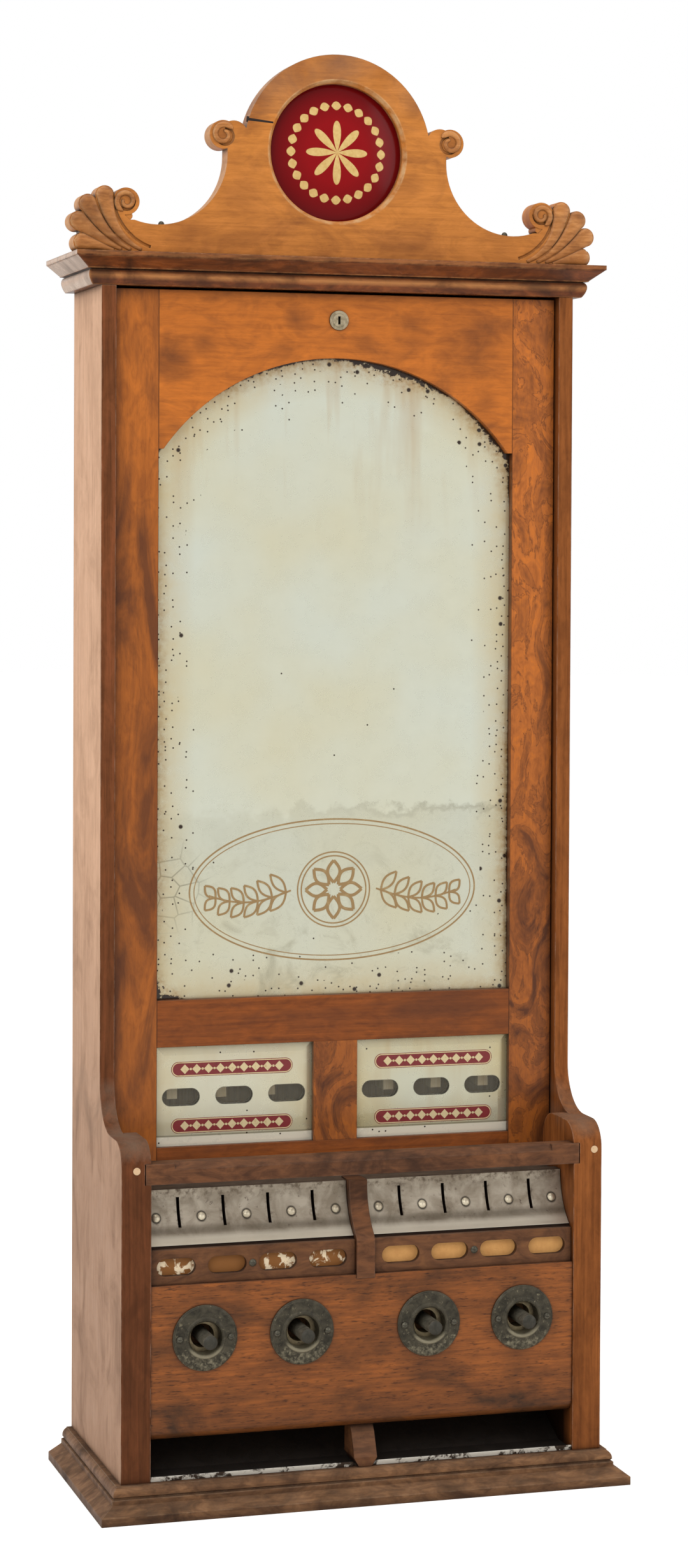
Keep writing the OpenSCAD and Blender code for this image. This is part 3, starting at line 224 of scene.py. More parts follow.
# Mirror glass of about 1900: silver under old varnish, hazy and creamy, with black foxing along its edge, brown runs
# from the top, and a rim where the silver has gone. Sight windows are scraped clear.
def silveredGlass(name, look):
    material, add = newMaterial(name)
    place = add("TexCoord", out="Object")
    inMm = add("VectorMath", {0: place, "Scale": perMetre}, operation="SCALE")
    x = add("SeparateXYZ", {0: inMm}, out="X")
    z = x.node.outputs["Z"]
    flat = add("CombineXYZ", {0: x, 1: z})

    # distance in from the edge of the glass
    reach = add("Math", {0: x}, operation="ABSOLUTE")
    aside = add("Math", {0: reach, 1: look["middle"][0]}, operation="SUBTRACT")
    asideFar = add("Math", {0: aside}, operation="ABSOLUTE")
    sideGap = add("Math", {0: look["half"][0], 1: asideFar}, operation="SUBTRACT")
    above = add("Math", {0: z, 1: look["middle"][1]}, operation="SUBTRACT")
    aboveFar = add("Math", {0: above}, operation="ABSOLUTE")
    endGap = add("Math", {0: look["half"][1], 1: aboveFar}, operation="SUBTRACT")
    edge = add("Math", {0: sideGap, 1: endGap}, operation="MINIMUM")
    if "arch" in look:
        overSpring = add("Math", {0: z, 1: look["arch"]["z"]}, operation="SUBTRACT")
        rise = add("Math", {0: overSpring, 1: 0.0}, operation="MAXIMUM")
        spoke = add("CombineXYZ", {0: x, 1: rise})
        radius = add("VectorMath", {0: spoke}, out="Value", operation="LENGTH")
        archGap = add("Math", {0: look["arch"]["radius"], 1: radius}, operation="SUBTRACT")
        edge = add("Math", {0: edge, 1: archGap}, operation="MINIMUM")

    # hazy silver, yellow towards the edge, with brown runs and grey smudges
    tone = add("TexNoise", {"Vector": flat, "Scale": 1 / look["toneSize"], "Detail": 3.0, "Roughness": 0.5})
    toneMask = add("MapRange", {"Value": tone, "From Min": 0.35, "From Max": 0.65})
    colour = add("Mix", {0: toneMask, 6: look["cool"], 7: look["warm"]}, out=2, data_type="RGBA")
    ragged = add("TexNoise", {"Vector": flat, "Scale": 1 / look["raggedSize"], "Detail": 6.0, "Roughness": 0.65})
    nearEdge = add("MapRange", {"Value": edge, "From Min": look["rimReach"], "From Max": 0.0,
                                "To Max": look["yellowRim"]})
    coats = [(add("Math", {0: nearEdge, 1: ragged}, operation="MULTIPLY"), look["rimTone"])]
    runsMap = add("Mapping", {"Vector": flat, "Scale": (1 / look["runSize"][0], 1 / look["runSize"][1], 1.0)})
    runs = add("TexNoise", {"Vector": runsMap, "Scale": 1.0, "Detail": 3.0, "Roughness": 0.5})
    runMask = add("MapRange", {"Value": runs, "From Min": 0.52, "From Max": 0.74})
    runZone = add("MapRange", {"Value": z, "From Min": look["runs"][0], "From Max": look["runs"][1],
                               "To Max": look["runAmount"]})
    coats.append((add("Math", {0: runMask, 1: runZone}, operation="MULTIPLY"), look["runTone"]))
    smudge = add("TexNoise", {"Vector": flat, "Scale": 1 / look["smudgeSize"], "Detail": 8.0, "Roughness": 0.7,
                              "Distortion": 1.2})
    smudgeMask = add("MapRange", {"Value": smudge, "From Min": 0.52, "From Max": 0.72})
    smudgeZone = add("MapRange", {"Value": z, "From Min": look["smudge"][1], "From Max": look["smudge"][0],
                                  "To Max": look["smudgeAmount"]})
    coats.append((add("Math", {0: smudgeMask, 1: smudgeZone}, operation="MULTIPLY"), look["smudgeTone"]))

    if "band" in look:  # greyer foot with a ragged top, fine scuffs, and crazing at one side
        band = look["band"]
        wander = add("Math", {0: ragged, 1: band["wander"], 2: z}, operation="MULTIPLY_ADD")
        inBand = add("MapRange", {"Value": wander, "From Min": band["top"] + band["soft"],
                                  "From Max": band["top"] - band["soft"], "To Max": band["amount"]})
        coats.append((inBand, band["tone"]))
        scuffs = add("TexNoise", {"Vector": flat, "Scale": 1 / band["scuffSize"], "Detail": 8.0, "Roughness": 0.75,
                                  "Distortion": 2.0})
        scuffMask = add("MapRange", {"Value": scuffs, "From Min": 0.56, "From Max": 0.7})
        coats.append((add("Math", {0: scuffMask, 1: inBand}, operation="MULTIPLY"), band["scuffTone"]))
        fromTop = add("Math", {0: wander, 1: band["top"]}, operation="SUBTRACT")
        nearTop = add("Math", {0: fromTop}, operation="ABSOLUTE")
        border = add("MapRange", {"Value": nearTop, "From Min": band["border"][0], "From Max": band["border"][1],
                                  "To Max": 0.4})
        toRight = add("MapRange", {"Value": x, "From Min": band["borderFrom"], "From Max": band["borderTo"]})
        coats.append((add("Math", {0: border, 1: toRight}, operation="MULTIPLY"), band["borderTone"]))
        cells = add("TexVoronoi", {"Vector": flat, "Scale": 1 / band["crazeCell"]}, feature="DISTANCE_TO_EDGE",
                    voronoi_dimensions="2D")
        lines = add("MapRange", {"Value": cells, "From Min": 0.045, "From Max": 0.02})
        fromCraze = add("VectorMath", {0: flat, 1: (*band["craze"], 0)}, out="Value", operation="DISTANCE")
        crazed = add("MapRange", {"Value": fromCraze, "From Min": band["crazeReach"][0],
                                  "From Max": band["crazeReach"][1], "To Max": 0.5})
        coats.append((add("Math", {0: lines, 1: crazed}, operation="MULTIPLY"), band["crazeTone"]))
    if "bevel" in look:  # painted reflection: the bevel at the foot is painted bright as if it catches the light, under a thin line of painted shade
        bevel = look["bevel"]
        aboveFoot = add("Math", {0: z, 1: bevel["foot"]}, operation="SUBTRACT")
        lit = add("MapRange", {"Value": aboveFoot, "From Min": bevel["wide"] + 0.1, "From Max": bevel["wide"] - 0.3,
                               "To Max": 0.85})
        coats.append((lit, bevel["litTone"]))
        offLine = add("Math", {0: aboveFoot, 1: bevel["wide"] + 0.5}, operation="SUBTRACT")
        nearLine = add("Math", {0: offLine}, operation="ABSOLUTE")
        line = add("MapRange", {"Value": nearLine, "From Min": 0.7, "From Max": 0.3, "To Max": 0.5})
        coats.append((line, bevel["lineTone"]))

    # foxing: a dot in some cells of that many mm, its size a share of the cell, more of them towards the edge
    loss = None
    for cell, size, keep in ((*look["speckCell"], look["specks"]), (*look["spotCell"], look["spots"])):
        dots = add("TexVoronoi", {"Vector": flat, "Scale": 1 / cell}, voronoi_dimensions="2D")
        chance = add("SeparateColor", {0: dots.node.outputs["Color"]})
        needed = add("MapRange", {"Value": edge, "From Min": look["foxReach"][0], "From Max": look["foxReach"][1],
                                  "To Min": keep[0], "To Max": keep[1]})
        chosen = add("Math", {0: chance, 1: needed}, operation="GREATER_THAN")
        inDot = add("MapRange", {"Value": dots, "From Min": size * 1.2, "From Max": size * 0.7})
        mask = add("Math", {0: chosen, 1: inDot}, operation="MULTIPLY")
        loss = mask if loss is None else add("Math", {0: loss, 1: mask}, operation="MAXIMUM")
    if look["patches"]:
        crumbs = add("TexNoise", {"Vector": flat, "Scale": 1 / look["crumbSize"], "Detail": 5.0, "Roughness": 0.7})
        torn = add("MapRange", {"Value": crumbs, "From Min": 0.36, "From Max": 0.64, "To Min": 0.1, "To Max": 1.0})
    for patch in look["patches"]:  # rim that has lost its silver near a point, with a brown stain round it
        offset = add("VectorMath", {0: flat, 1: (*patch["at"], 0)}, operation="SUBTRACT")
        away = add("VectorMath", {0: offset}, out="Value", operation="LENGTH")
        zone = add("MapRange", {"Value": away, "From Min": patch["radius"], "From Max": 0.0, "To Max": patch["depth"]})
        wavy = add("Math", {0: zone, 1: torn}, operation="MULTIPLY")
        inside = add("Math", {0: wavy, 1: edge}, operation="SUBTRACT")
        mask = add("MapRange", {"Value": inside, "From Min": -0.4, "From Max": 0.6})
        loss = add("Math", {0: loss, 1: mask}, operation="MAXIMUM")
        stained = add("MapRange", {"Value": inside, "From Min": -look["stainReach"], "From Max": 0.0, "To Max": 0.75})
        nearby = add("MapRange", {"Value": zone, "From Max": patch["depth"] * 0.4})
        spread = add("Math", {0: stained, 1: nearby}, operation="MULTIPLY")
        coats.append((add("Math", {0: spread, 1: torn}, operation="MULTIPLY"), look["stainTone"]))
    coats.append((loss, look["lossTone"]))
    bare = add("Math", {0: loss, 1: lit}, operation="MAXIMUM") if "bevel" in look else loss
    silver = add("MapRange", {"Value": bare, "To Min": look["silver"], "To Max": 0.0})
    links = {"Metallic": silver, "Specular IOR Level": 0.15, "Coat Weight": 0.7, "Coat Roughness": 0.04}
    if "windows" in look:  # three scraped windows with round ends
        sight = look["windows"]
        halfHeight = sight["height"] / 2
        step = add("Math", {0: aside, 1: 1 / sight["pitch"]}, operation="MULTIPLY")
        whole = add("Math", {0: step}, operation="ROUND")
        atMost = add("Clamp", {"Value": whole, "Min": -1.0, "Max": 1.0})
        back = add("Math", {0: atMost, 1: -sight["pitch"], 2: aside}, operation="MULTIPLY_ADD")
        backFar = add("Math", {0: back}, operation="ABSOLUTE")
        past = add("Math", {0: backFar, 1: (sight["width"] - sight["height"]) / 2}, operation="SUBTRACT")
        pastEnd = add("Math", {0: past, 1: 0.0}, operation="MAXIMUM")
        level = add("Math", {0: z, 1: sight["z"]}, operation="SUBTRACT")
        toMiddle = add("CombineXYZ", {0: pastEnd, 1: level})
        fromMiddle = add("VectorMath", {0: toMiddle}, out="Value", operation="LENGTH")
        clear = add("MapRange", {"Value": fromMiddle, "From Min": halfHeight + 0.2, "From Max": halfHeight - 0.3})
        coats.append((clear, sight["film"]))
        links["Metallic"] = add("Math", {0: silver, 1: clear}, operation="SUBTRACT", use_clamp=True)
        links["Alpha"] = add("MapRange", {"Value": clear, "To Min": 1.0, "To Max": sight["filmAmount"]})

    for mask, coat in coats:
        colour = add("Mix", {0: mask, 6: colour, 7: coat}, out=2, data_type="RGBA")
    links["Base Color"] = colour
    links["Roughness"] = add("MapRange", {"Value": ragged, "From Min": 0.3, "From Max": 0.7, "To Min": 0.24,
                                          "To Max": 0.34})
    add("OutputMaterial", {"Surface": add("BsdfPrincipled", links)})
    return material


# Glass painted from behind in maroon, with a gilt flower of eight petals in a ring of beads: deep and wet looking
def maroonGlass(name, look):
    material, add = newMaterial(name)
    place = add("TexCoord", out="Object")
    centred = add("Mapping", {"Vector": place, "Location": (0, 0, -look["middle"]), "Scale": (perMetre,) * 3},
                  vector_type="POINT")
    x = add("SeparateXYZ", {0: centred}, out="X")
    z = x.node.outputs["Z"]
    flat = add("CombineXYZ", {0: x, 1: z})
    radius = add("VectorMath", {0: flat}, out="Value", operation="LENGTH")
    angle = add("Math", {0: z, 1: x}, operation="ARCTAN2")
    gilt = None
    for ring, length, count in look["petals"]:  # rounded petals round a circle of that radius
        foot = length * look["petalFoot"]
        turn = add("Math", {0: angle, 1: count / 2}, operation="MULTIPLY")
        swing = add("Math", {0: turn}, operation="COSINE")
        swell = add("Math", {0: swing}, operation="ABSOLUTE")
        soft = add("Math", {0: swell, 1: look["petalSwell"]}, operation="POWER")
        reach = add("Math", {0: soft, 1: length}, operation="MULTIPLY")
        away = add("Math", {0: radius, 1: ring}, operation="SUBTRACT")
        near = add("Math", {0: away}, operation="ABSOLUTE")
        inside = add("Math", {0: reach, 1: near}, operation="SUBTRACT")
        mask = add("MapRange", {"Value": inside, "From Min": foot, "From Max": foot + 0.3})
        gilt = mask if gilt is None else add("Math", {0: gilt, 1: mask}, operation="MAXIMUM")
    wear = add("TexNoise", {"Vector": flat, "Scale": 1 / look["wearSize"], "Detail": 4.0, "Roughness": 0.6})
    # painted shade: the paint darkens towards the edge of the disc
    depth = add("MapRange", {"Value": radius, "From Min": look["rimFrom"], "From Max": look["rimTo"]})
    paint = add("Mix", {0: depth, 6: look["paint"], 7: look["rim"]}, out=2, data_type="RGBA")
    gold = add("Mix", {0: wear, 6: look["gilt"], 7: look["giltWorn"]}, out=2, data_type="RGBA")
    colour = add("Mix", {0: gilt, 6: paint, 7: gold}, out=2, data_type="RGBA")
    rough = add("MapRange", {"Value": wear, "To Min": 0.12, "To Max": 0.2})
    shader = add("BsdfPrincipled", {"Base Color": colour, "Roughness": rough, "IOR": 1.52, "Specular IOR Level": 0.12})
    add("OutputMaterial", {"Surface": shader})
    return material


# Worked metal with age: rolled or cast tone, clouds of tarnish, specks of rust, bright where hands and edges rub
def agedMetal(name, look):
    material, add = newMaterial(name)
    place = add("TexCoord", out="Object")
    cloud = add("TexNoise", {"Vector": place, "Scale": perMetre / look["cloudSize"], "Detail": 5.0, "Roughness": 0.62,
                             "Distortion": 0.6})
    cloudMask = add("MapRange", {"Value": cloud, "From Min": 0.36, "From Max": 0.64})
    colour = add("Mix", {0: cloudMask, 6: look["metal"], 7: look["tarnish"]}, out=2, data_type="RGBA")
    brushMap = add("Mapping", {"Vector": place, "Scale": [perMetre / size for size in look["brush"]]})
    brush = add("TexNoise", {"Vector": brushMap, "Scale": 1.0, "Detail": 3.0, "Roughness": 0.6})
    grit = add("TexNoise", {"Vector": place, "Scale": perMetre / look["rustSize"], "Detail": 7.0, "Roughness": 0.7})
    rust = add("MapRange", {"Value": grit, "From Min": look["rustFrom"], "From Max": look["rustFrom"] + 0.06,
                            "To Max": look["rustAmount"]})
    coats = [(rust, look["rust"])]  # each mask with its tone, laid over each other at the end
    rounded = add("Bevel", {"Radius": look["edge"] * mm}, samples=4)
    flat = add("NewGeometry", out="True Normal")
    agree = add("VectorMath", {0: rounded, 1: flat}, out="Value", operation="DOT_PRODUCT")
    corner = add("MapRange", {"Value": agree, "From Min": 0.98, "From Max": 0.75, "To Max": look["rub"]})
    coats.append((add("Math", {0: corner, 1: cloud}, operation="MULTIPLY"), look["bright"]))
    # grime and painted shade where the corner is closed
    openness = add("AmbientOcclusion", {"Distance": look["grimeReach"] * mm}, out="AO", samples=4)
    closed = add("MapRange", {"Value": openness, "From Min": 0.8, "From Max": 0.3, "To Max": 0.7})
    coats.append((closed, look["grime"]))

    if "nails" in look:  # dark rings round the nail heads, rust beside the slits, a band of dirt and painted shade, and a lip rubbed bright with a painted highlight
        nails = look["nails"]
        x = add("SeparateXYZ", {0: place}, out="X")
        z = x.node.outputs["Z"]
        reach = add("Math", {0: x}, operation="ABSOLUTE")
        past = add("Math", {0: reach, 1: nails["first"] * mm}, operation="SUBTRACT")
        pitches = add("Math", {0: past, 1: nails["pitch"] * mm}, operation="DIVIDE")
        whole = add("Math", {0: pitches}, operation="ROUND")
        off = add("Math", {0: whole, 1: -nails["pitch"] * mm, 2: past}, operation="MULTIPLY_ADD")
        rise = add("Math", {0: z, 1: nails["z"] * mm}, operation="SUBTRACT")
        spoke = add("CombineXYZ", {0: off, 1: rise})
        radius = add("VectorMath", {0: spoke}, out="Value", operation="LENGTH")
        ringed = add("MapRange", {"Value": radius, "From Min": nails["ring"][0] * mm, "From Max": nails["ring"][1] * mm,
                                  "To Max": 0.85})
        coats.append((ringed, nails["ringTone"]))
        offFar = add("Math", {0: off}, operation="ABSOLUTE")
        toSlit = add("Math", {0: nails["pitch"] / 2 * mm, 1: offFar}, operation="SUBTRACT")
        besideSlit = add("MapRange", {"Value": toSlit, "From Min": nails["slit"][0] * mm,
                                      "From Max": nails["slit"][1] * mm, "To Max": 0.8})
        slitFoot = add("MapRange", {"Value": rise, "From Min": nails["slitFoot"][0] * mm,
                                    "From Max": nails["slitFoot"][1] * mm})
        upper = add("MapRange", {"Value": rise, "From Min": nails["upper"][0] * mm, "From Max": nails["upper"][1] * mm,
                                 "To Max": 0.75})
        slitDirt = add("Math", {0: besideSlit, 1: slitFoot}, operation="MULTIPLY")
        dirty = add("Math", {0: slitDirt, 1: upper}, operation="MAXIMUM")
        speckled = add("MapRange", {"Value": grit, "From Min": 0.48, "From Max": 0.6})
        coats.append((add("Math", {0: dirty, 1: speckled}, operation="MULTIPLY"), nails["slitTone"]))
        # dark band of dirt and painted shade in the hollow above the lip
        offBand = add("Math", {0: z, 1: nails["band"] * mm}, operation="SUBTRACT")
        nearBand = add("Math", {0: offBand}, operation="ABSOLUTE")
        dulled = add("MapRange", {"Value": nearBand, "From Min": nails["bandHalf"][0] * mm,
                                  "From Max": nails["bandHalf"][1] * mm, "To Max": 0.5})
        coats.append((dulled, nails["bandTone"]))
        # the lip is rubbed bright and carries a painted highlight
        lip = add("MapRange", {"Value": z, "From Min": nails["lip"] * mm,
                               "From Max": (nails["lip"] - nails["lipHeight"]) * mm, "To Max": 0.85})
        coats.append((lip, look["bright"]))
    if "holes" in look:  # thumbs have rubbed the lower half; the foot of the lip is rubbed and carries a painted highlight
        holes = look["holes"]
        x = add("SeparateXYZ", {0: place}, out="X")
        z = x.node.outputs["Z"]
        reach = add("Math", {0: x}, operation="ABSOLUTE")
        past = add("Math", {0: reach, 1: holes["first"] * mm}, operation="SUBTRACT")
        far = add("Math", {0: past, 1: holes["pitch"] / 2 * mm}, operation="GREATER_THAN")
        off = add("Math", {0: far, 1: -holes["pitch"] * mm, 2: past}, operation="MULTIPLY_ADD")
        drop = add("Math", {0: holes["z"] * mm, 1: z}, operation="SUBTRACT")
        spoke = add("CombineXYZ", {0: off, 1: drop})
        radius = add("VectorMath", {0: spoke}, out="Value", operation="LENGTH")
        lower = add("MapRange", {"Value": drop, "From Min": holes["lower"][0] * mm, "From Max": holes["lower"][1] * mm,
                                 "To Max": 0.16})
        speckle = add("Math", {0: grit, 1: lower}, operation="ADD")
        rubbedOff = add("MapRange", {"Value": speckle, "From Min": 0.6, "From Max": 0.76, "To Max": 0.34})
        inLip = add("MapRange", {"Value": radius, "From Min": holes["lip"][0] * mm, "From Max": holes["lip"][1] * mm})
        atFoot = add("MapRange", {"Value": drop, "From Min": holes["foot"][0] * mm, "From Max": holes["foot"][1] * mm,
                                  "To Max": 0.5})
        paintedLipHighlight = add("Math", {0: inLip, 1: atFoot}, operation="MULTIPLY")
        coats.append((add("Math", {0: rubbedOff, 1: paintedLipHighlight}, operation="MAXIMUM"), look["bright"]))
    if "endTone" in look:  # the pushed end is dark with grease and painted shade where it faces forward
        facing = add("TexCoord", out="Normal")
        front = add("SeparateXYZ", {0: facing}, out="Y")
        endDirtAndShade = add("MapRange", {"Value": front, "From Min": -0.5, "From Max": -0.85, "To Max": 0.85})
        coats.append((endDirtAndShade, look["endTone"]))

    for mask, coat in coats:
        colour = add("Mix", {0: mask, 6: colour, 7: coat}, out=2, data_type="RGBA")
    bareMetal = add("Math", {0: rust, 1: -look["metallic"], 2: look["metallic"]}, operation="MULTIPLY_ADD",
                    use_clamp=True)
    rough = add("MapRange", {"Value": brush, "From Min": 0.3, "From Max": 0.7, "To Min": look["gloss"][0],
                             "To Max": look["gloss"][1]})
    relief = add("Math", {0: brush, 1: grit}, operation="ADD")
    bumps = add("Bump", {"Height": relief, "Normal": rounded, "Strength": look["relief"], "Distance": 0.2 * mm})
    shader = add("BsdfPrincipled", {"Base Color": colour, "Metallic": bareMetal, "Roughness": rough, "Normal": bumps})
    add("OutputMaterial", {"Surface": shader})
    return material


# Old yellowed card behind the label windows: torn to pale scraps over brown board at the left, whole at the right
def yellowedCard(name, look):
    material, add = newMaterial(name)
    place = add("TexCoord", out="Object")
    x = add("SeparateXYZ", {0: place}, out="X")
    stain = add("TexNoise", {"Vector": place, "Scale": perMetre / look["stainSize"], "Detail": 4.0, "Roughness": 0.6})
    whole = add("Mix", {0: stain, 6: look["card"], 7: look["stain"]}, out=2, data_type="RGBA")
    torn = add("TexNoise", {"Vector": place, "Scale": perMetre / look["tearSize"], "Detail": 6.0, "Roughness": 0.62,
                            "Distortion": 0.6})
    past = add("Math", {0: x, 1: look["bareCard"] * mm}, operation="SUBTRACT")
    near = add("Math", {0: past}, operation="ABSOLUTE")
    lost = add("MapRange", {"Value": near, "From Min": look["bareHalf"][0] * mm, "From Max": look["bareHalf"][1] * mm,
                            "To Min": 0.14, "To Max": 0.0})
    kept = add("Math", {0: torn, 1: lost}, operation="SUBTRACT")
    tornMask = add("MapRange", {"Value": kept, "From Min": 0.5, "From Max": 0.54})
    scraps = add("Mix", {0: tornMask, 6: look["board"], 7: look["paper"]}, out=2, data_type="RGBA")
    side = add("MapRange", {"Value": x, "From Min": -mm, "From Max": mm})
    colour = add("Mix", {0: side, 6: scraps, 7: whole}, out=2, data_type="RGBA")
    bumps = add("Bump", {"Height": tornMask, "Strength": 0.3, "Distance": 0.3 * mm})
    rough = add("MapRange", {"Value": stain, "To Min": 0.7, "To Max": 0.9})
    shader = add("BsdfPrincipled", {"Base Color": colour, "Roughness": rough, "Normal": bumps})
    add("OutputMaterial", {"Surface": shader})
    return material


# Tin chute that was painted white: black inside with grime and painted shade, chipped white paint on the lip that shows
def chippedTin(name, look):
    material, add = newMaterial(name)
    place = add("TexCoord", out="Object")
    y = add("SeparateXYZ", {0: place}, out="Y")
    chips = add("TexNoise", {"Vector": place, "Scale": perMetre / look["chipSize"], "Detail": 7.0, "Roughness": 0.68,
                             "Distortion": 0.5})
    chipMask = add("MapRange", {"Value": chips, "From Min": 0.44, "From Max": 0.5})
    lip = add("Mix", {0: chipMask, 6: look["bare"], 7: look["paint"]}, out=2, data_type="RGBA")
    waver = add("Math", {0: chips, 1: look["waver"] * mm, 2: y}, operation="MULTIPLY_ADD")
    inward = add("MapRange", {"Value": waver, "From Min": look["lipEnd"] * mm,
                              "From Max": (look["lipEnd"] + look["lipFade"]) * mm})
    grime = add("Mix", {0: chips, 6: look["soot"], 7: look["grime"]}, out=2, data_type="RGBA")
    colour = add("Mix", {0: inward, 6: lip, 7: grime}, out=2, data_type="RGBA")
    bumps = add("Bump", {"Height": chipMask, "Strength": 0.4, "Distance": 0.3 * mm})
    rough = add("MapRange", {"Value": chips, "To Min": 0.45, "To Max": 0.75})
    shader = add("BsdfPrincipled", {"Base Color": colour, "Roughness": rough, "Normal": bumps})
    add("OutputMaterial", {"Surface": shader})
    return material


# Plain paints and woods of the small added pieces: one tone broken up by fine wear
def wornPaint(name, look):
    material, add = newMaterial(name)
    place = add("TexCoord", out="Object")
    wear = add("TexNoise", {"Vector": place, "Scale": perMetre / look["wearSize"], "Detail": 6.0, "Roughness": 0.65})
    mask = add("MapRange", {"Value": wear, "From Min": look["wearFrom"], "From Max": look["wearFrom"] + 0.12,
                            "To Max": look["wearAmount"]})
    colour = add("Mix", {0: mask, 6: look["paint"], 7: look["worn"]}, out=2, data_type="RGBA")
    rough = add("MapRange", {"Value": wear, "To Min": look["gloss"][0], "To Max": look["gloss"][1]})
    shader = add("BsdfPrincipled", {"Base Color": colour, "Roughness": rough, "Metallic": look["metallic"]})
    add("OutputMaterial", {"Surface": shader})
    return material


# Finishes of the wooden pieces, in millimetres. A pattern has its size across and along the grain, detail and twist,
# a stain or scuff its middle, radius and amount, and a band its height, half width and amount.
doorLook = {"grain": "upright", "shift": (0, 0, 0), "figure": 0.7,
            "patterns": {"streaks": (3.0, 90.0, 5.0, 0.5), "mottle": (9.0, 22.0, 4.0, 1.8),
                         "pores": (0.5, 7.0, 2.0, 0.0), "cloud": (34.0, 52.0, 5.0, 1.2), "dirt": (9.0, 9.0, 6.0, 0.0)},
            "light": "#c87027", "mid": "#ba6824", "deep": "#a65b20", "dark": "#58301a", "grime": "#241108",
            "bare": "#a8683a", "dusty": "#b9a795", "scuffed": "#86705f", "stains": (), "scuffs": (), "bands": (),
            "faded": "#a8683a", "fadedDeep": "#8d5530", "sideFade": 0.0, "fadedCloud": 1.0,
            "fadeTop": 700.0, "fadeFoot": 330.0, "footDark": 0.24, "cloudFrom": 0.46, "cloudTo": 0.7,
            "cloudAmount": 0.85, "poreAmount": 0.22, "dust": 0.2, "edge": 0.8, "wear": 0.25, "grimeReach": 12.0,
            "grimeAmount": 0.88, "gloss": (0.28, 0.42), "specular": 0.2, "coat": 0.08}
doorJoints = {"x": 119.7, "half": 0.5, "core": 0.15, "amount": 0.55}
doorLeft = varnishedWood("shellackedBirchLeft", dict(
    doorLook, shift=(0.0, 0.0, 2.3), fadeTop=735.0, fadeFoot=620.0, footDark=0.38, cloudFrom=0.44, cloudTo=0.6,
    cloudAmount=0.5, joints=doorJoints, patterns=dict(doorLook["patterns"], cloud=(24.0, 110.0, 5.0, 0.8))))
doorRight = varnishedWood("shellackedBirchRight", dict(
    doorLook, mid="#b8682b", deep="#a35a24", footDark=0.4, fadeTop=560.0, cloudFrom=0.46, cloudTo=0.66,
    cloudAmount=0.65, veins=0.55, joints=doorJoints,
    patterns=dict(doorLook["patterns"], mottle=(8.0, 14.0, 5.0, 2.2), cloud=(24.0, 46.0, 6.0, 1.8))))
doorLevel = varnishedWood("shellackedBirchLevel", dict(
    doorLook, grain="level", shift=(3.1, 0.4, 1.7), figure=0.5, fadeTop=330.0, fadeFoot=290.0, footDark=0.34,
    cloudFrom=0.5, cloudAmount=0.5, joints=doorJoints,
    stains=[(-111, 724, 18, 0.8), (-90, 734, 12, 0.6), (-29, 750, 12, 0.6), (-35, 730, 12, 0.5), (16, 733, 11, 0.5),
            (95, 737, 28, 0.65), (51, 746, 17, 0.45), (101, 701, 12, 0.55)]))
doorFoot = varnishedWood("shellackedBirchFoot", dict(
    doorLook, grain="level", shift=(0.7, 2.2, 4.1), figure=0.4, light="#98501c", mid="#874617", deep="#703812",
    footDark=0.0, cloudAmount=0.5, joints=doorJoints,
    patterns=dict(doorLook["patterns"], cloud=(14.0, 60.0, 6.0, 0.8)),
    stains=[(82, 298, 66, 0.75), (0, 300, 26, 0.4), (-90, 296, 34, 0.35)]))
crestLook = dict(
    doorLook, grain="level", shift=(1.2, 5.0, 0.3), figure=0.45, light="#cf823a", mid="#c17832", deep="#ae6a2b",
    dark="#6a3518", bare="#d0a878", faded="#d0a878", fadedDeep="#b58757", sideFade=0.5, footDark=0.0, cloudFrom=0.48,
    cloudAmount=0.5, grimeReach=4.0, grimeAmount=0.95, gloss=(0.32, 0.46))
crestGold = varnishedWood("shellackedBirchGold", dict(
    crestLook, rim={"face": 9.0, "z": 859.0, "radius": 46.0, "half": 1.5, "core": 0.6, "amount": 0.85},
    stains=[(-55, 889, 13, 0.75), (-58, 876, 12, 0.6), (-42, 905, 11, 0.5), (-77, 868, 8, 0.5), (77, 868, 8, 0.5),
            (-66, 828, 22, 0.3), (0, 917, 24, 0.6), (-28, 912, 19, 0.55), (30, 911, 21, 0.6), (54, 888, 14, 0.5),
            (-98, 803, 20, 0.5), (112, 800, 16, 0.35), (-70, 850, 10, 0.35)],
    scuffs=[(6, 914, 34, 0.3), (-40, 900, 26, 0.22), (44, 898, 26, 0.22)]))
crestCarved = varnishedWood("shellackedBirchCarved", dict(
    crestLook, light="#cc8d52", mid="#b8783f", deep="#9a602f", dark="#5e361d", grimeReach=5.0, cloudAmount=0.6))
sideLook = dict(
    doorLook, shift=(0.6, 2.0, 0.9), figure=0.3, dark="#3c2010", faded="#d8ad8d", fadedDeep="#c59a7b", sideFade=0.95,
    fadeTop=430.0, fadeFoot=190.0, cloudAmount=0.22, wear=0.8, edge=1.4, bare="#b3917a", dust=0.8, dusty="#6f5a4a",
    specular=0.1, coat=0.0, gloss=(0.45, 0.6),
    soot={"under": 50.0, "behind": -62.0, "fadeUp": 4.0, "fadeIn": 14.0, "amount": 0.93, "tone": "#0d0805"})
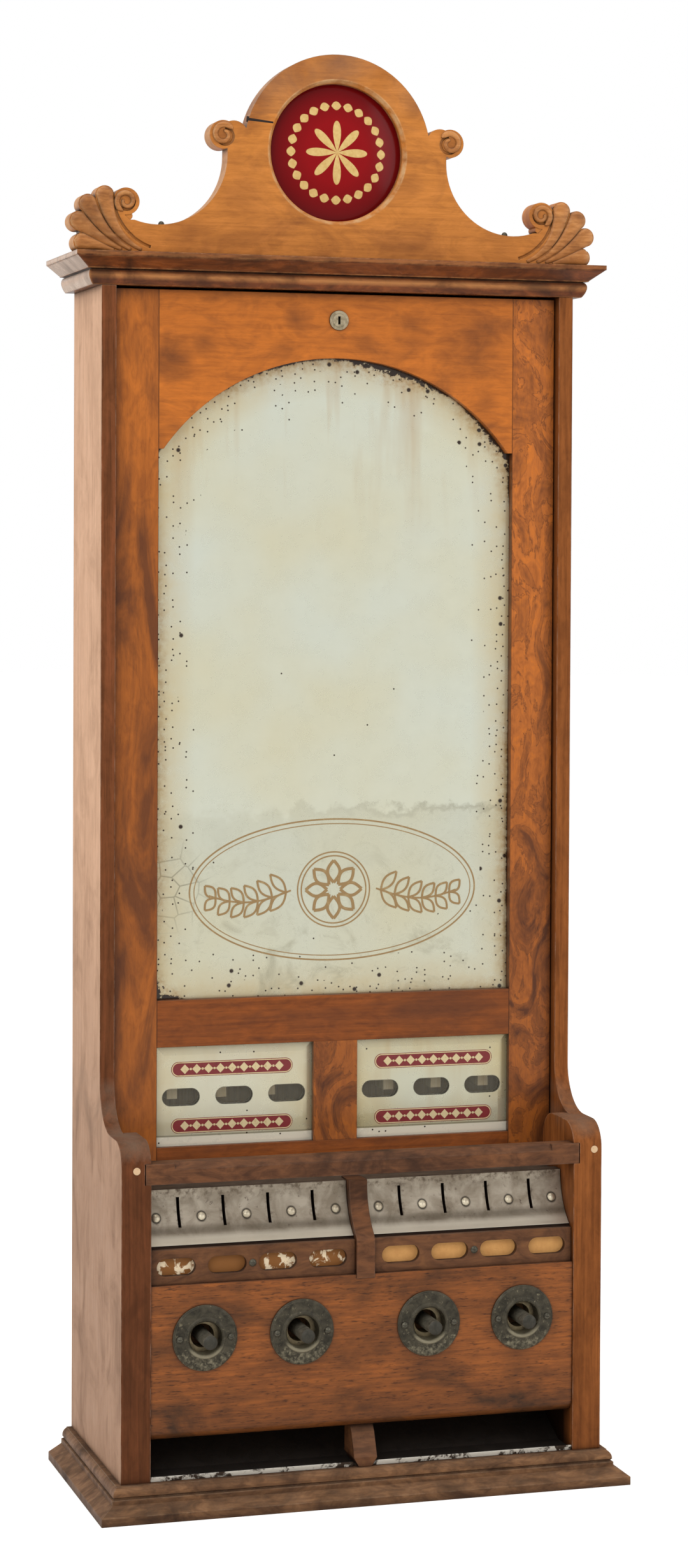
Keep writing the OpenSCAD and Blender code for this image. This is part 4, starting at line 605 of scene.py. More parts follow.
# this board's darker foot is painted shade, where the light from the side falls off lower down
leftBoard = varnishedWood("fadedBirchLeft", dict(
    sideLook, light="#81492a", mid="#704023", deep="#5b331a", footDark=0.42,
    scuffs=[(-148, 231, 10, 0.5), (-151, 244, 9, 0.4), (-153, 258, 9, 0.3)]))
rightBoard = varnishedWood("fadedBirchRight", dict(
    sideLook, light="#955729", mid="#844b22", deep="#6d3c19", footDark=0.06,
    scuffs=[(149, 231, 8, 0.35), (152, 246, 7, 0.3)]))
darkLevel = varnishedWood("walnutStainLevel", dict(
    doorLook, grain="level", shift=(0.2, 0.8, 2.4), light="#84461f", mid="#6e3818", deep="#572c11", dark="#321809",
    bare="#cd8c52", faded="#d9c3b0", fadedDeep="#bfa591", sideFade=0.9, fadedCloud=0.35, dust=0.4, dusty="#8a5f44",
    edge=2.2, wear=1.0, footDark=0.0, specular=0.2, coat=0.04, gloss=(0.22, 0.36),
    bands=[(774.4, 2.8, 0.68), (787.4, 1.6, 0.3)]))
plinthWood = varnishedWood("wornWalnutStain", dict(
    doorLook, grain="level", shift=(4.0, 0.1, 0.4), light="#8e6644", mid="#765235", deep="#5b3e27", dark="#301c0e",
    bare="#a78a6e", faded="#84664f", fadedDeep="#6a4d3b", sideFade=0.7, dust=0.35, dusty="#8b7460", wear=0.9, edge=1.2,
    footDark=0.0, gloss=(0.45, 0.6), coat=0.0))
trimWood = varnishedWood("dullWalnutStain", dict(
    doorLook, grain="level", shift=(2.0, 3.0, 0.4), light="#764a2c", mid="#653f26", deep="#50301c", dark="#2c190e",
    bare="#8d7260", faded="#6f4a33", fadedDeep="#573622", sideFade=0.3, dust=0.15, dusty="#7d6552", edge=1.2, wear=0.7,
    footDark=0.0, gloss=(0.45, 0.6), coat=0.0))
stripWood = varnishedWood("sootyWalnutStain", dict(
    doorLook, grain="level", shift=(1.0, 3.0, 0.9), light="#754c2d", mid="#664128", deep="#52331e", dark="#2f1b0e",
    bare="#8a6c55", dust=0.2, wear=0.45, footDark=0.0, cloudAmount=0.4, gloss=(0.5, 0.65), coat=0.0))
panelWood = varnishedWood("shellackedPanel", dict(
    doorLook, grain="level", shift=(0.5, 0.2, 6.0), figure=0.35, light="#9a5724", mid="#874c21", deep="#703e1b",
    dark="#3d2513", fadeTop=80.0, fadeFoot=44.0, footDark=0.6, cloudAmount=0.75, poreAmount=0.75, grimeReach=16.0,
    patterns=dict(doorLook["patterns"], streaks=(1.6, 34.0, 5.0, 0.2), mottle=(4.0, 13.0, 5.0, 0.4),
                  pores=(0.9, 6.0, 2.0, 0.0), cloud=(26.0, 60.0, 6.0, 0.4)),
    # the last four stains are painted shade in rings round the rosettes
    stains=[(-83, 138, 9, 0.6), (-93, 72, 12, 0.5), (0, 132, 16, 0.5), (-130, 80, 14, 0.5), (128, 60, 14, 0.5),
            (-105, 107, 29, 0.92), (-42, 107, 29, 0.92), (42, 107, 29, 0.92), (105, 107, 29, 0.92)]))
pineLook = dict(
    doorLook, shift=(7.0, 1.0, 0.0), figure=0.12, light="#c79a66", mid="#b5844f", deep="#93653a", dark="#70492a",
    grime="#3c2717", bare="#cfae80", footDark=0.0, cloudFrom=0.48, cloudAmount=0.4, poreAmount=0.3, wear=0.4,
    gloss=(0.7, 0.85), coat=0.0,
    patterns=dict(doorLook["patterns"], streaks=(5.0, 240.0, 5.0, 1.0), pores=(0.7, 18.0, 2.0, 0.0),
                  cloud=(48.0, 190.0, 5.0, 1.0)))
pineBoards = varnishedWood("rawPineBoards", dict(
    pineLook, boards={"width": 69.875, "half": 1.3, "core": 0.6, "amount": 0.9}))
rawUpright = varnishedWood("rawPineUpright", pineLook)
rawLevel = varnishedWood("rawPineLevel", dict(pineLook, grain="level", shift=(0.0, 7.0, 1.0)))
paleUpright = varnishedWood("scrubbedPine", dict(
    pineLook, shift=(3.0, 1.0, 0.5), light="#ecdcba", mid="#e2cda4", deep="#cbb184", dark="#ab8c60", grime="#7a6242",
    bare="#ecdcba", cloudAmount=0.3, poreAmount=0.2, grimeReach=2.0))
stainedLevel = varnishedWood("lampblackStain", dict(
    doorLook, grain="level", shift=(0.0, 2.0, 1.0), light="#42301f", mid="#352517", deep="#281b10", dark="#1a110a",
    bare="#5a4632", footDark=0.0, cloudAmount=0.4, gloss=(0.6, 0.75), coat=0.0))
print("wood finishes made")

# Finishes of the glass, in millimetres. A pair is where a mark starts and where it is full, and the top of the band
# includes what it wanders.
silverLook = {"toneSize": 130.0, "raggedSize": 14.0, "rimReach": 26.0, "rimTone": "#c3a25e",
              "runSize": (16.0, 150.0), "runTone": "#b38a52", "smudgeSize": 34.0, "smudgeTone": "#8f8a72",
              "speckCell": (4.5, 0.13), "spotCell": (17.0, 0.085), "foxReach": (2.0, 30.0),
              "crumbSize": 4.5, "lossTone": "#2a1a0c", "stainReach": 9.0, "stainTone": "#a37c45"}
mirrorSilver = silveredGlass("foxedMirrorGlass", dict(
    silverLook, middle=(0.0, 518.6), half=(119.7, 206.9), arch={"z": 582.5, "radius": 143.0}, cool="#d8dccd",
    warm="#d9d4b6", yellowRim=1.0, runs=(600.0, 735.0), runAmount=0.75, smudge=(330.0, 440.0), smudgeAmount=0.68,
    specks=(0.5, 0.997), spots=(0.55, 1.2), silver=0.55,
    band={"top": 451.0, "soft": 4.0, "wander": 40.0, "tone": "#b3ad92", "amount": 0.22, "border": (5.0, 0.4),
          "borderFrom": -60.0, "borderTo": 90.0, "borderTone": "#857f68", "scuffSize": 5.0, "scuffTone": "#6f6a55",
          "craze": (-112.0, 385.0), "crazeReach": (34.0, 12.0), "crazeCell": 13.0, "crazeTone": "#6a6450"},
    patches=[{"at": (38.0, 720.0), "radius": 50.0, "depth": 9.0}, {"at": (100.0, 668.0), "radius": 44.0, "depth": 6.0},
             {"at": (-40.0, 718.0), "radius": 60.0, "depth": 2.6},
             {"at": (-117.0, 314.0), "radius": 19.0, "depth": 7.5},
             {"at": (119.0, 400.0), "radius": 120.0, "depth": 1.6},
             {"at": (-119.0, 470.0), "radius": 160.0, "depth": 1.2}]))
paneLook = dict(
    silverLook, middle=(67.25, 249.35), half=(52.45, 32.35), cool="#d5d3c0", warm="#d3cba9", yellowRim=0.6,
    runs=(200.0, 300.0), runAmount=0.15, smudge=(200.0, 320.0), smudgeAmount=0.12, specks=(0.965, 0.9995),
    spots=(0.98, 1.2), silver=0.5, patches=[],
    windows={"pitch": 35.4, "width": 25.0, "height": 11.4, "z": 248.5, "film": "#a8a18d", "filmAmount": 0.14},
    bevel={"foot": 217.0, "wide": 6.0, "litTone": "#f4ecd8", "lineTone": "#5d584a"})
leftSilver = silveredGlass("silveredPaneLeft", paneLook)
rightSilver = silveredGlass("silveredPaneRight", dict(paneLook, cool="#cfd0bd", warm="#cbbb87", runAmount=0.5))
medallionGlass = maroonGlass("maroonReversePaintedGlass", {
    "middle": 859.0, "petals": [(0.0, 32.0, 8), (30.5, 4.6, 24)], "petalFoot": 0.35, "petalSwell": 0.7,
    "paint": "#8a0a10", "rim": "#600609", "rimFrom": 20.0, "rimTo": 45.0, "gilt": "#e8cf8e", "giltWorn": "#b98a44",
    "wearSize": 3.0})
print("glass made")

# Finishes of the metal pieces and the card, in millimetres. A pair is where a mark starts and where it is full.
tinLook = {"metal": "#b9ad9b", "tarnish": "#8f8270", "cloudSize": 16.0, "brush": (22.0, 0.8, 0.8), "rust": "#4a3222",
           "rustSize": 4.0, "rustFrom": 0.62, "rustAmount": 0.8, "edge": 0.3, "rub": 0.8, "bright": "#d8cfbd",
           "grime": "#1b1712", "grimeReach": 3.0, "metallic": 0.75, "gloss": (0.34, 0.52), "relief": 0.25}
plateTin = agedMetal("rolledTinplate", dict(
    tinLook, brush=(30.0, 1.2, 1.2),
    nails={"first": 14.3, "pitch": 29.4, "z": 182.0, "ring": (3.7, 2.9), "ringTone": "#2d261d", "slit": (3.6, 0.4),
           "slitFoot": (-9.0, -5.0), "upper": (8.0, 17.0), "slitTone": "#4b3a29", "band": 174.6, "bandHalf": (3.4, 0.6),
           "bandTone": "#5d5343", "lip": 173.0, "lipHeight": 3.0}))
insideTin = agedMetal("dullTinplate", dict(tinLook, metal="#8b867b", tarnish="#6f695e", rustAmount=0.5))
nailSteel = agedMetal("roundHeadNailSteel", dict(
    tinLook, metal="#e6dbc2", tarnish="#bdb098", rustFrom=0.66, edge=0.5, rub=1.0))
rosettePatina = agedMetal("castBrassPatina", dict(
    tinLook, metal="#4a4436", tarnish="#2a261c", cloudSize=6.0, brush=(2.0, 2.0, 2.0), rust="#7d7355", rustSize=2.5,
    rustFrom=0.6, rustAmount=0.42, edge=0.7, rub=1.3, bright="#b0a68a", metallic=0.55, gloss=(0.38, 0.6), relief=0.5,
    holes={"first": 42.0, "pitch": 63.0, "z": 109.5, "lower": (2.0, 16.0), "lip": (13.2, 12.2), "foot": (5.0, 8.5)}))
sleeveBrass = agedMetal("tarnishedBrassTube", dict(
    tinLook, metal="#948566", tarnish="#6d6047", cloudSize=5.0, rust="#2f2417", bright="#b08c52", metallic=0.6))
rodSteel = agedMetal("turnedSteelRod", dict(
    tinLook, metal="#7c7667", tarnish="#555145", cloudSize=3.0, brush=(1.0, 8.0, 1.0), edge=0.9, bright="#b0a999",
    metallic=0.55, gloss=(0.42, 0.6), endTone="#2b2922"))
lockBrass = agedMetal("nickelledBrassLock", dict(
    tinLook, metal="#bdae92", tarnish="#8d7f64", cloudSize=4.0, brush=(3.0, 3.0, 3.0), rust="#3f3423", rustSize=1.5,
    edge=0.4))
pusherBrass = agedMetal("castBrassPusher", dict(
    tinLook, metal="#9b7d42", tarnish="#7a6033", cloudSize=9.0, rust="#4a3a20", bright="#c9a964"))
springSteel = agedMetal("springSteelWire", dict(
    tinLook, metal="#8c887e", tarnish="#67635a", cloudSize=4.0, brush=(1.0, 1.0, 1.0), edge=0.2, metallic=0.85))
screwSteel = agedMetal("bluedSteelScrew", dict(
    tinLook, metal="#5d594c", tarnish="#3f3c32", cloudSize=2.0, brush=(0.6, 0.6, 0.6), rustSize=1.0, edge=0.3))
card = yellowedCard("yellowedCard", {
    "card": "#dda661", "stain": "#b87f45", "stainSize": 6.0, "paper": "#ecd6b4", "board": "#84521f", "tearSize": 8.0,
    "bareCard": -89.9, "bareHalf": (10.0, 17.0)})
chuteTin = chippedTin("chippedPaintedTin", {
    "paint": "#d9d3c6", "bare": "#3a2d22", "chipSize": 11.0, "grime": "#2a211a", "soot": "#0f0c09", "lipEnd": -58.0,
    "lipFade": 5.0, "waver": 6.0})
print("metals and card made")

paintLook = {"wearSize": 3.0, "wearFrom": 0.55, "wearAmount": 0.5, "gloss": (0.25, 0.4), "metallic": 0.0}
barPaint = wornPaint("maroonSignPaint", dict(paintLook, paint="#7c1f22", worn="#571317"))
giltLeaf = wornPaint("dullGoldLeaf", dict(
    paintLook, paint="#dcc79a", worn="#b08a4a", metallic=0.3, gloss=(0.35, 0.5)))
bronzeInk = wornPaint("bronzeLinePaint", dict(
    paintLook, paint="#94764a", worn="#b29a6c", wearSize=5.0, gloss=(0.4, 0.55)))
# the dark in the split is dirt and painted shade
crackDirtAndShade = wornPaint("dirtInCrack", dict(paintLook, paint="#1c0f08", worn="#2b190e", gloss=(0.8, 0.9)))
plugWood = wornPaint("endGrainDowel", dict(
    paintLook, paint="#d2b088", worn="#a67c4e", wearSize=1.2, gloss=(0.6, 0.8)))
print("paints made")

finishes = [
    (doorLeft, ["left_stile"]), (doorRight, ["right_stile", "mullion"]),
    (doorLevel, ["top_rail"]), (doorFoot, ["mid_rail", "bottom_rail"]),
    (crestGold, ["crest"]),
    (leftBoard, ["left_side"]), (rightBoard, ["right_side"]),
    (darkLevel, ["cornice"]),
    (plinthWood, ["plinth"]),
    (trimWood, ["front_rail", "centre_divider"]),
    (stripWood, ["left_label_strip", "right_label_strip", "delivery_block"]),
    (panelWood, ["rod_panel"]),
    (pineBoards, ["back_board"]), (rawUpright, ["mirror_back", "medallion_back"]),
    (rawLevel, ["cash_shelf", "front_guide", "rear_guide", "column_floor"]),
    (paleUpright, ["partitions"]),
    (stainedLevel, ["pane_backs", "ledge", "left_coin_block", "right_coin_block"]),
    (mirrorSilver, ["mirror_glass"]), (leftSilver, ["left_pane"]), (rightSilver, ["right_pane"]),
    (medallionGlass, ["medallion"]),
    (plateTin, ["left_coin_plate", "right_coin_plate"]),
    (insideTin, ["coin_chutes", "cash_box"]),
    (nailSteel, ["plate_nails"]),
    (rosettePatina, ["rosettes"]), (sleeveBrass, ["rod_sleeves"]), (screwSteel, ["round_screws"]),
    (rodSteel, ["push_rod_1", "push_rod_2", "push_rod_3", "push_rod_4", "lock_cam", "lock_keeper", "door_pivots"]),
    (pusherBrass, ["pusher_1", "pusher_2", "pusher_3", "pusher_4"]),
    (springSteel, ["rod_spring_1", "rod_spring_2", "rod_spring_3", "rod_spring_4"]),
    (lockBrass, ["lock_barrel", "lock_plug"]),
    (card, ["label_cards"]), (chuteTin, ["packet_chute"]),
]
for material, names in finishes:
    for name in names:
        for holder in nodes[name].material_slots:
            holder.material = material
print("finishes on", sum(len(names) for material, names in finishes), "nodes")


# Mesh in place at the origin, riding on a body. Faces with the corner counts in smooth are shaded smooth.
def makePiece(name, bm, body, material, smooth=()):
    bmesh.ops.recalc_face_normals(bm, faces=bm.faces[:])
    for face in bm.faces:
        face.smooth = len(face.verts) in smooth
    mesh = bpy.data.meshes.new(name)
    bm.to_mesh(mesh)
    bm.free()
    mesh.materials.append(material)
    piece = bpy.data.objects.new(name, mesh)
    bpy.context.scene.collection.objects.link(piece)
    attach(piece, body)
    return piece


# Return springs: round wire with a closed turn at each end
spring = {"xs": (-105.0, -42.0, 42.0, 105.0), "z": 109.5, "front": -24.6, "back": 25.8, "coilRadius": 7.5, "wire": 1.4,
          "turns": 7, "closedPitch": 1.02, "stepsPerTurn": 20, "sides": 8, "anchor": 26.1, "keep": 29.0 / 51.0}
wireRadius = spring["wire"] / 2 * mm
closedRise = spring["wire"] * spring["closedPitch"]
openRise = (spring["back"] - spring["front"] - spring["wire"] - 2 * closedRise) / spring["turns"]
for k, x in enumerate(spring["xs"]):
    bm = bmesh.new()
    foot = ((x + spring["coilRadius"]) * mm, spring["front"] * mm + wireRadius, spring["z"] * mm)
    ring = bmesh.ops.create_circle(bm, cap_ends=False, segments=spring["sides"], radius=wireRadius,
                                   matrix=Matrix.Translation(foot) @ Matrix.Rotation(math.pi, 4, "Z"))
    last = ring["verts"] + list(bm.edges)
    for turns, rise in ((1, closedRise), (spring["turns"], openRise), (1, closedRise)):
        spun = bmesh.ops.spin(bm, geom=last, cent=(x * mm, 0, spring["z"] * mm), axis=(0, -1, 0),
                              dvec=(0, rise / spring["stepsPerTurn"] * mm, 0), angle=turns * 2 * math.pi,
                              steps=turns * spring["stepsPerTurn"], use_duplicate=False, use_merge=False)
        last = spun["geom_last"]
    bmesh.ops.holes_fill(bm, edges=bm.edges[:], sides=spring["sides"])
    coil = makePiece("returnSpring%d" % (k + 1), bm, "case", springSteel, smooth=(4,))
    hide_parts("rod_spring_%d" % (k + 1))
    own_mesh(coil)
print("springs wound")


def closeBelow(bm, faces, depth):  # gives an open patch a foot at that depth, so that it is a solid
    rim = [edge for edge in bm.edges if edge.is_boundary and edge.link_faces[0] in faces]
    walls = bmesh.ops.extrude_edge_only(bm, edges=rim)["geom"]
    for item in walls:
        if isinstance(item, bmesh.types.BMVert):
            item.co.y = depth
    bmesh.ops.holes_fill(bm, edges=[item for item in walls if isinstance(item, bmesh.types.BMEdge)], sides=0)


def pathWay(path, s, step):  # the way a path in the front plane runs at s
    ahead, behind = path(min(s + step, 1.0)), path(max(s - step, 0.0))
    return Vector((ahead[0] - behind[0], ahead[1] - behind[1])).normalized()


def reliefRidge(bm, path, halfWidth, rise, seat, cuts):  # rounded ridge on a path in the front plane
    before = set(bm.faces)
    grid = bmesh.ops.create_grid(bm, x_segments=cuts[0], y_segments=cuts[1], size=1.0)
    for vert in grid["verts"]:
        s, t = (vert.co.x + 1) / 2, vert.co.y
        here, way = path(s), pathWay(path, s, 0.01)
        reach = halfWidth(s) * t
        lift = rise(s) * math.sqrt(max(1 - t * t, 0.0))
        vert.co = Vector(((here[0] - way.y * reach) * mm, (seat["face"] + seat["sink"] - lift) * mm,
                          (here[1] + way.x * reach) * mm))
    closeBelow(bm, set(bm.faces) - before, (seat["face"] + seat["foot"]) * mm)


# Carved shells and scrolls of the crest, in relief on its face
carving = {"face": 9.0, "sink": 0.25, "foot": 0.9,
           "leaves": [((130.5, 792.0), (151.0, 801.0), (154.4, 826.0)),
                      ((137.5, 791.8), (155.0, 800.5), (165.3, 820.3)),
                      ((143.5, 791.8), (157.5, 797.5), (171.2, 809.3)),
                      ((148.5, 791.2), (158.0, 794.0), (168.6, 795.9))],
           "leafLength": 40.0, "tipRadius": 6.0, "rootWidth": 1.3, "swell": 1.4, "rise": 2.3, "rootRise": 0.3,
           "tipFrom": 0.87, "leafCuts": (26, 10),
           "scrolls": [{"middle": (140.5, 822.6), "from": -70.0, "to": 380.0, "outer": 6.6, "inner": 2.0,
                        "width": 2.1},
                       {"middle": (76.7, 867.5), "from": 150.0, "to": -260.0, "outer": 6.9, "inner": 2.2,
                        "width": 2.2}],
           "winding": 1.2, "thinning": 0.45, "startsBy": 0.06, "scrollRise": (1.1, 0.7), "riseFrom": 0.15,
           "scrollCuts": (64, 8)}
leafTurn = carving["leafLength"] / (carving["leafLength"] + carving["tipRadius"])  # where the rounded end starts


def leafLine(root, elbow, tip, s):  # point on a bent centre line, then straight on over the rounded end
    if s > leafTurn:
        way = Vector((tip[0] - elbow[0], tip[1] - elbow[1])).normalized()
        onward = way * carving["tipRadius"] * (s - leafTurn) / (1 - leafTurn)
        return (tip[0] + onward.x, tip[1] + onward.y)
    u = s / leafTurn
    return tuple((1 - u) ** 2 * a + 2 * u * (1 - u) * b + u * u * c for a, b, c in zip(root, elbow, tip))


def leafWidth(s):  # half width, wider towards the round tip and never quite closed
    if s > leafTurn:
        return carving["tipRadius"] * math.sqrt(max(1 - ((s - leafTurn) / (1 - leafTurn)) ** 2, 0.0004))
    return carving["rootWidth"] + (carving["tipRadius"] - carving["rootWidth"]) * (s / leafTurn) ** carving["swell"]


def leafRise(s):  # low at the root, rounded off at the tip
    past = max(0.0, (s - carving["tipFrom"]) / (1 - carving["tipFrom"]))
    swelling = carving["rootRise"] + (1 - carving["rootRise"]) * s
    return carving["rise"] * swelling * math.sqrt(max(1 - past ** 2, 0.02))


def scrollLine(scroll, s):
    angle = math.radians(scroll["from"] + (scroll["to"] - scroll["from"]) * s)
    radius = scroll["outer"] + (scroll["inner"] - scroll["outer"]) * s ** carving["winding"]
    return (scroll["middle"][0] + radius * math.cos(angle), scroll["middle"][1] + radius * math.sin(angle))


def scrollWidth(scroll, s):  # half width, rounded at the start and thinner towards the eye
    started = max(min(s / carving["startsBy"], 1.0), 0.02)
    return scroll["width"] * (1.0 - carving["thinning"] * s) * math.sqrt(started)


def scrollRise(s):
    low, more = carving["scrollRise"]
    return low + more * math.sin(math.pi * min(s + carving["riseFrom"], 1.0))


for side, word in ((-1, "Left"), (1, "Right")):
    bm = bmesh.new()
    for leaf in carving["leaves"]:
        reliefRidge(bm, partial(leafLine, *leaf), leafWidth, leafRise, carving, carving["leafCuts"])
    for scroll in carving["scrolls"]:
        reliefRidge(bm, partial(scrollLine, scroll), partial(scrollWidth, scroll), scrollRise, carving,
                    carving["scrollCuts"])
    for vert in bm.verts:
        vert.co.x *= side
    makePiece("carvedShell" + word, bm, "case", crestCarved, smooth=(4,))
print("crest carved")

# Crack across the head of the crest: a dark strip of dirt and painted shade in the split
crack = {"from": (-61.4, 878.0), "to": (-43.6, 876.4), "width": 1.6, "opening": 1.15, "narrowing": 0.45, "rise": 0.3,
         "face": 9.0, "sink": 0.25, "foot": 0.6, "cuts": (20, 4)}
bm = bmesh.new()
reliefRidge(bm, lambda s: tuple(a + (b - a) * s for a, b in zip(crack["from"], crack["to"])),
            lambda s: crack["width"] * (crack["opening"] - crack["narrowing"] * s), lambda s: crack["rise"], crack,
            crack["cuts"])
makePiece("crestCrack", bm, "case", crackDirtAndShade)

# Two iron nubs behind the sweeps
nub = {"at": [(-115.1, 19.5, 809.3), (118.3, 19.5, 809.6)], "radius": 2.1, "tall": 1.15, "cuts": (16, 10)}
bm = bmesh.new()
for x, y, z in nub["at"]:
    middle = Matrix.Translation((x * mm, y * mm, z * mm))
    bmesh.ops.create_uvsphere(bm, u_segments=nub["cuts"][0], v_segments=nub["cuts"][1], radius=nub["radius"] * mm,
                              matrix=middle @ Matrix.Diagonal((1, 1, nub["tall"], 1)))
makePiece("crestNubs", bm, "case", screwSteel, smooth=(3, 4))


# A moulding that runs round the left side, the front and the right side, mitred at the front corners
def mouldedRun(name, run, section, material):
    bm = bmesh.new()
    ring = bmesh.ops.create_circle(bm, cap_ends=False, segments=len(section), radius=1.0)["verts"]
    for vert, (out, z) in zip(ring, section):
        vert.co = Vector((-(run["halfWidth"] + out) * mm, run["back"] * mm, z * mm))
    loop = bm.edges[:]
    for side, atFront in ((-1, True), (1, True), (1, False)):  # left front corner, right front corner, right back end
        walls = bmesh.ops.extrude_edge_only(bm, edges=loop)["geom"]
        moved = {item for item in walls if isinstance(item, bmesh.types.BMVert)}
        for vert in moved:
            out = abs(vert.co.x) / mm - run["halfWidth"]
            vert.co.x = side * (run["halfWidth"] + out) * mm
            vert.co.y = (run["front"] - out if atFront else run["back"]) * mm
        loop = [edge for edge in bm.edges if set(edge.verts) <= moved]
    bmesh.ops.holes_fill(bm, edges=[edge for edge in bm.edges if edge.is_boundary], sides=0)
    makePiece(name, bm, "case", material)


# Rounded nosing and fillet on top of the plinth
nosing = {"halfWidth": 158.75, "front": -65.0, "back": 80.45, "top": 20.98, "flat": 1.2, "reach": 6.2, "foot": 16.0,
          "steps": 8, "inside": -0.5, "fillet": [(6.2, 15.2), (5.3, 14.4), (5.3, 13.9), (6.9, 13.4), (6.9, 10.0)]}
section = [(nosing["inside"], nosing["top"])]
for k in range(nosing["steps"] + 1):  # quarter round from the top face to the widest point
    turn = math.pi / 2 * k / nosing["steps"]
    section.append((nosing["flat"] + (nosing["reach"] - nosing["flat"]) * math.sin(turn),
                    nosing["foot"] + (nosing["top"] - nosing["foot"]) * math.cos(turn)))
section += nosing["fillet"] + [(nosing["inside"], nosing["fillet"][-1][1])]
mouldedRun("plinthNosing", nosing, section, plinthWood)

# Facing of the cornice: a flat bevel, a step and a bead. Heights are above its foot.
facing = {"halfWidth": 158.75, "front": 3.6, "back": 80.45, "foot": 768.5, "inside": 4.0,
          "bevel": [(18.25, 18.2), (18.25, 17.4), (9.8, 10.7), (9.7, 10.2), (6.6, 9.9)],
          "bead": [(7.6, 9.5), (8.3, 8.7), (8.7, 7.7), (8.85, 6.6), (8.75, 5.4), (8.4, 4.1), (7.8, 2.7), (7.0, 1.3),
                   (6.05, 0.08)]}
front = facing["bevel"] + facing["bead"]
section = [(facing["inside"], front[0][1])] + front + [(facing["inside"], front[-1][1])]
mouldedRun("corniceFacing", facing, [(out, facing["foot"] + z) for out, z in section], darkLevel)


# Short round bars that lie along y
def roundBars(name, bars, material):
    bm = bmesh.new()
    for x, z in bars["at"]:
        middle = Matrix.Translation((x * mm, (bars["front"] + bars["back"]) / 2 * mm, z * mm))
        bmesh.ops.create_cone(bm, cap_ends=True, segments=bars["segments"], radius1=bars["radius"] * mm,
                              radius2=bars["radius"] * mm, depth=(bars["back"] - bars["front"]) * mm,
                              matrix=middle @ Matrix.Rotation(math.pi / 2, 4, "X"))
    makePiece(name, bm, "case", material)


# Pale dowels that plug the screw holes in the ears
plug = {"at": [(-149.1, 216.1), (153.7, 215.6)], "radius": 2.3, "front": -65.25, "back": -62.0, "segments": 24}
roundBars("earPlugs", plug, plugWood)

# Webs between the large scrolls of the crest and the sweeps below them
web = {"at": [(-139.0, 813.4), (139.0, 813.4)], "radius": 2.7, "front": 9.25, "back": 22.75, "segments": 24}
roundBars("crestWebs", web, crestGold)
print("small fittings made")


def inkStroke(bm, path, width, steps, face, thick):  # flat line of paint on a path in the front plane
    before = set(bm.faces)
    grid = bmesh.ops.create_grid(bm, x_segments=steps, y_segments=1, size=1.0)
    for vert in grid["verts"]:
        s, t = (vert.co.x + 1) / 2, vert.co.y
        here, way = path(s), pathWay(path, s, 0.005)
        vert.co = Vector(((here[0] - way.y * width / 2 * t) * mm, (face - thick) * mm,
                          (here[1] + way.x * width / 2 * t) * mm))
    closeBelow(bm, set(bm.faces) - before, (face + thick) * mm)


# Painted bars on the two panes: maroon with round ends, a gilt line and a row of gilt lozenges and dots
bars = {"xs": (-68.55, 68.55), "zs": (266.5, 229.9), "length": 81.3, "height": 9.8, "face": 9.3, "thick": 0.12,
        "segments": 32, "gilt": 0.08, "line": 0.6, "inset": 0.7, "endSteps": 16, "lozenge": (3.0, 3.1), "dot": 0.8,
        "dotCorners": 12, "count": 9, "pitch": 7.9}
half = (bars["length"] - bars["height"]) / 2
lineRadius = bars["height"] / 2 - bars["inset"]
paintTop = bars["face"] - bars["thick"]
for x, word in zip(bars["xs"], ("Left", "Right")):
    paint, gilt = bmesh.new(), bmesh.new()
    for z in bars["zs"]:
        disc = bmesh.ops.create_circle(paint, cap_ends=True, segments=bars["segments"], radius=bars["height"] / 2)
        for vert in disc["verts"]:  # pulled apart into a bar with round ends
            vert.co = Vector(((x + vert.co.x + math.copysign(half, vert.co.x)) * mm, paintTop * mm,
                              (z + vert.co.y) * mm))
        closeBelow(paint, {face for vert in disc["verts"] for face in vert.link_faces},
                   (bars["face"] + bars["thick"]) * mm)
        for end in (-1, 1):  # the gilt line round one end, then along one edge
            inkStroke(gilt, lambda s: (x + end * (half + lineRadius * math.sin(math.pi * s)),
                                       z + lineRadius * math.cos(math.pi * s)),
                      bars["line"], bars["endSteps"], paintTop, bars["gilt"])
            inkStroke(gilt, lambda s: (x - half + 2 * half * s, z + end * lineRadius), bars["line"], 2, paintTop,
                      bars["gilt"])
        for k in range(bars["count"]):
            middle = x + (k - (bars["count"] - 1) / 2) * bars["pitch"]
            shapes = [(middle, *bars["lozenge"], 4)]
            if k < bars["count"] - 1:
                shapes.append((middle + bars["pitch"] / 2, bars["dot"], bars["dot"], bars["dotCorners"]))
            for spot, wide, tall, corners in shapes:
                mark = bmesh.ops.create_circle(gilt, cap_ends=True, segments=corners, radius=1.0)
                for vert in mark["verts"]:
                    vert.co = Vector(((spot + vert.co.x * wide) * mm, (paintTop - bars["gilt"]) * mm,
                                      (z + vert.co.y * tall) * mm))
                closeBelow(gilt, {face for vert in mark["verts"] for face in vert.link_faces}, bars["face"] * mm)
    makePiece("paneBars" + word, paint, "door", barPaint)
    makePiece("paneGilt" + word, gilt, "door", giltLeaf)
print("pane bars painted")

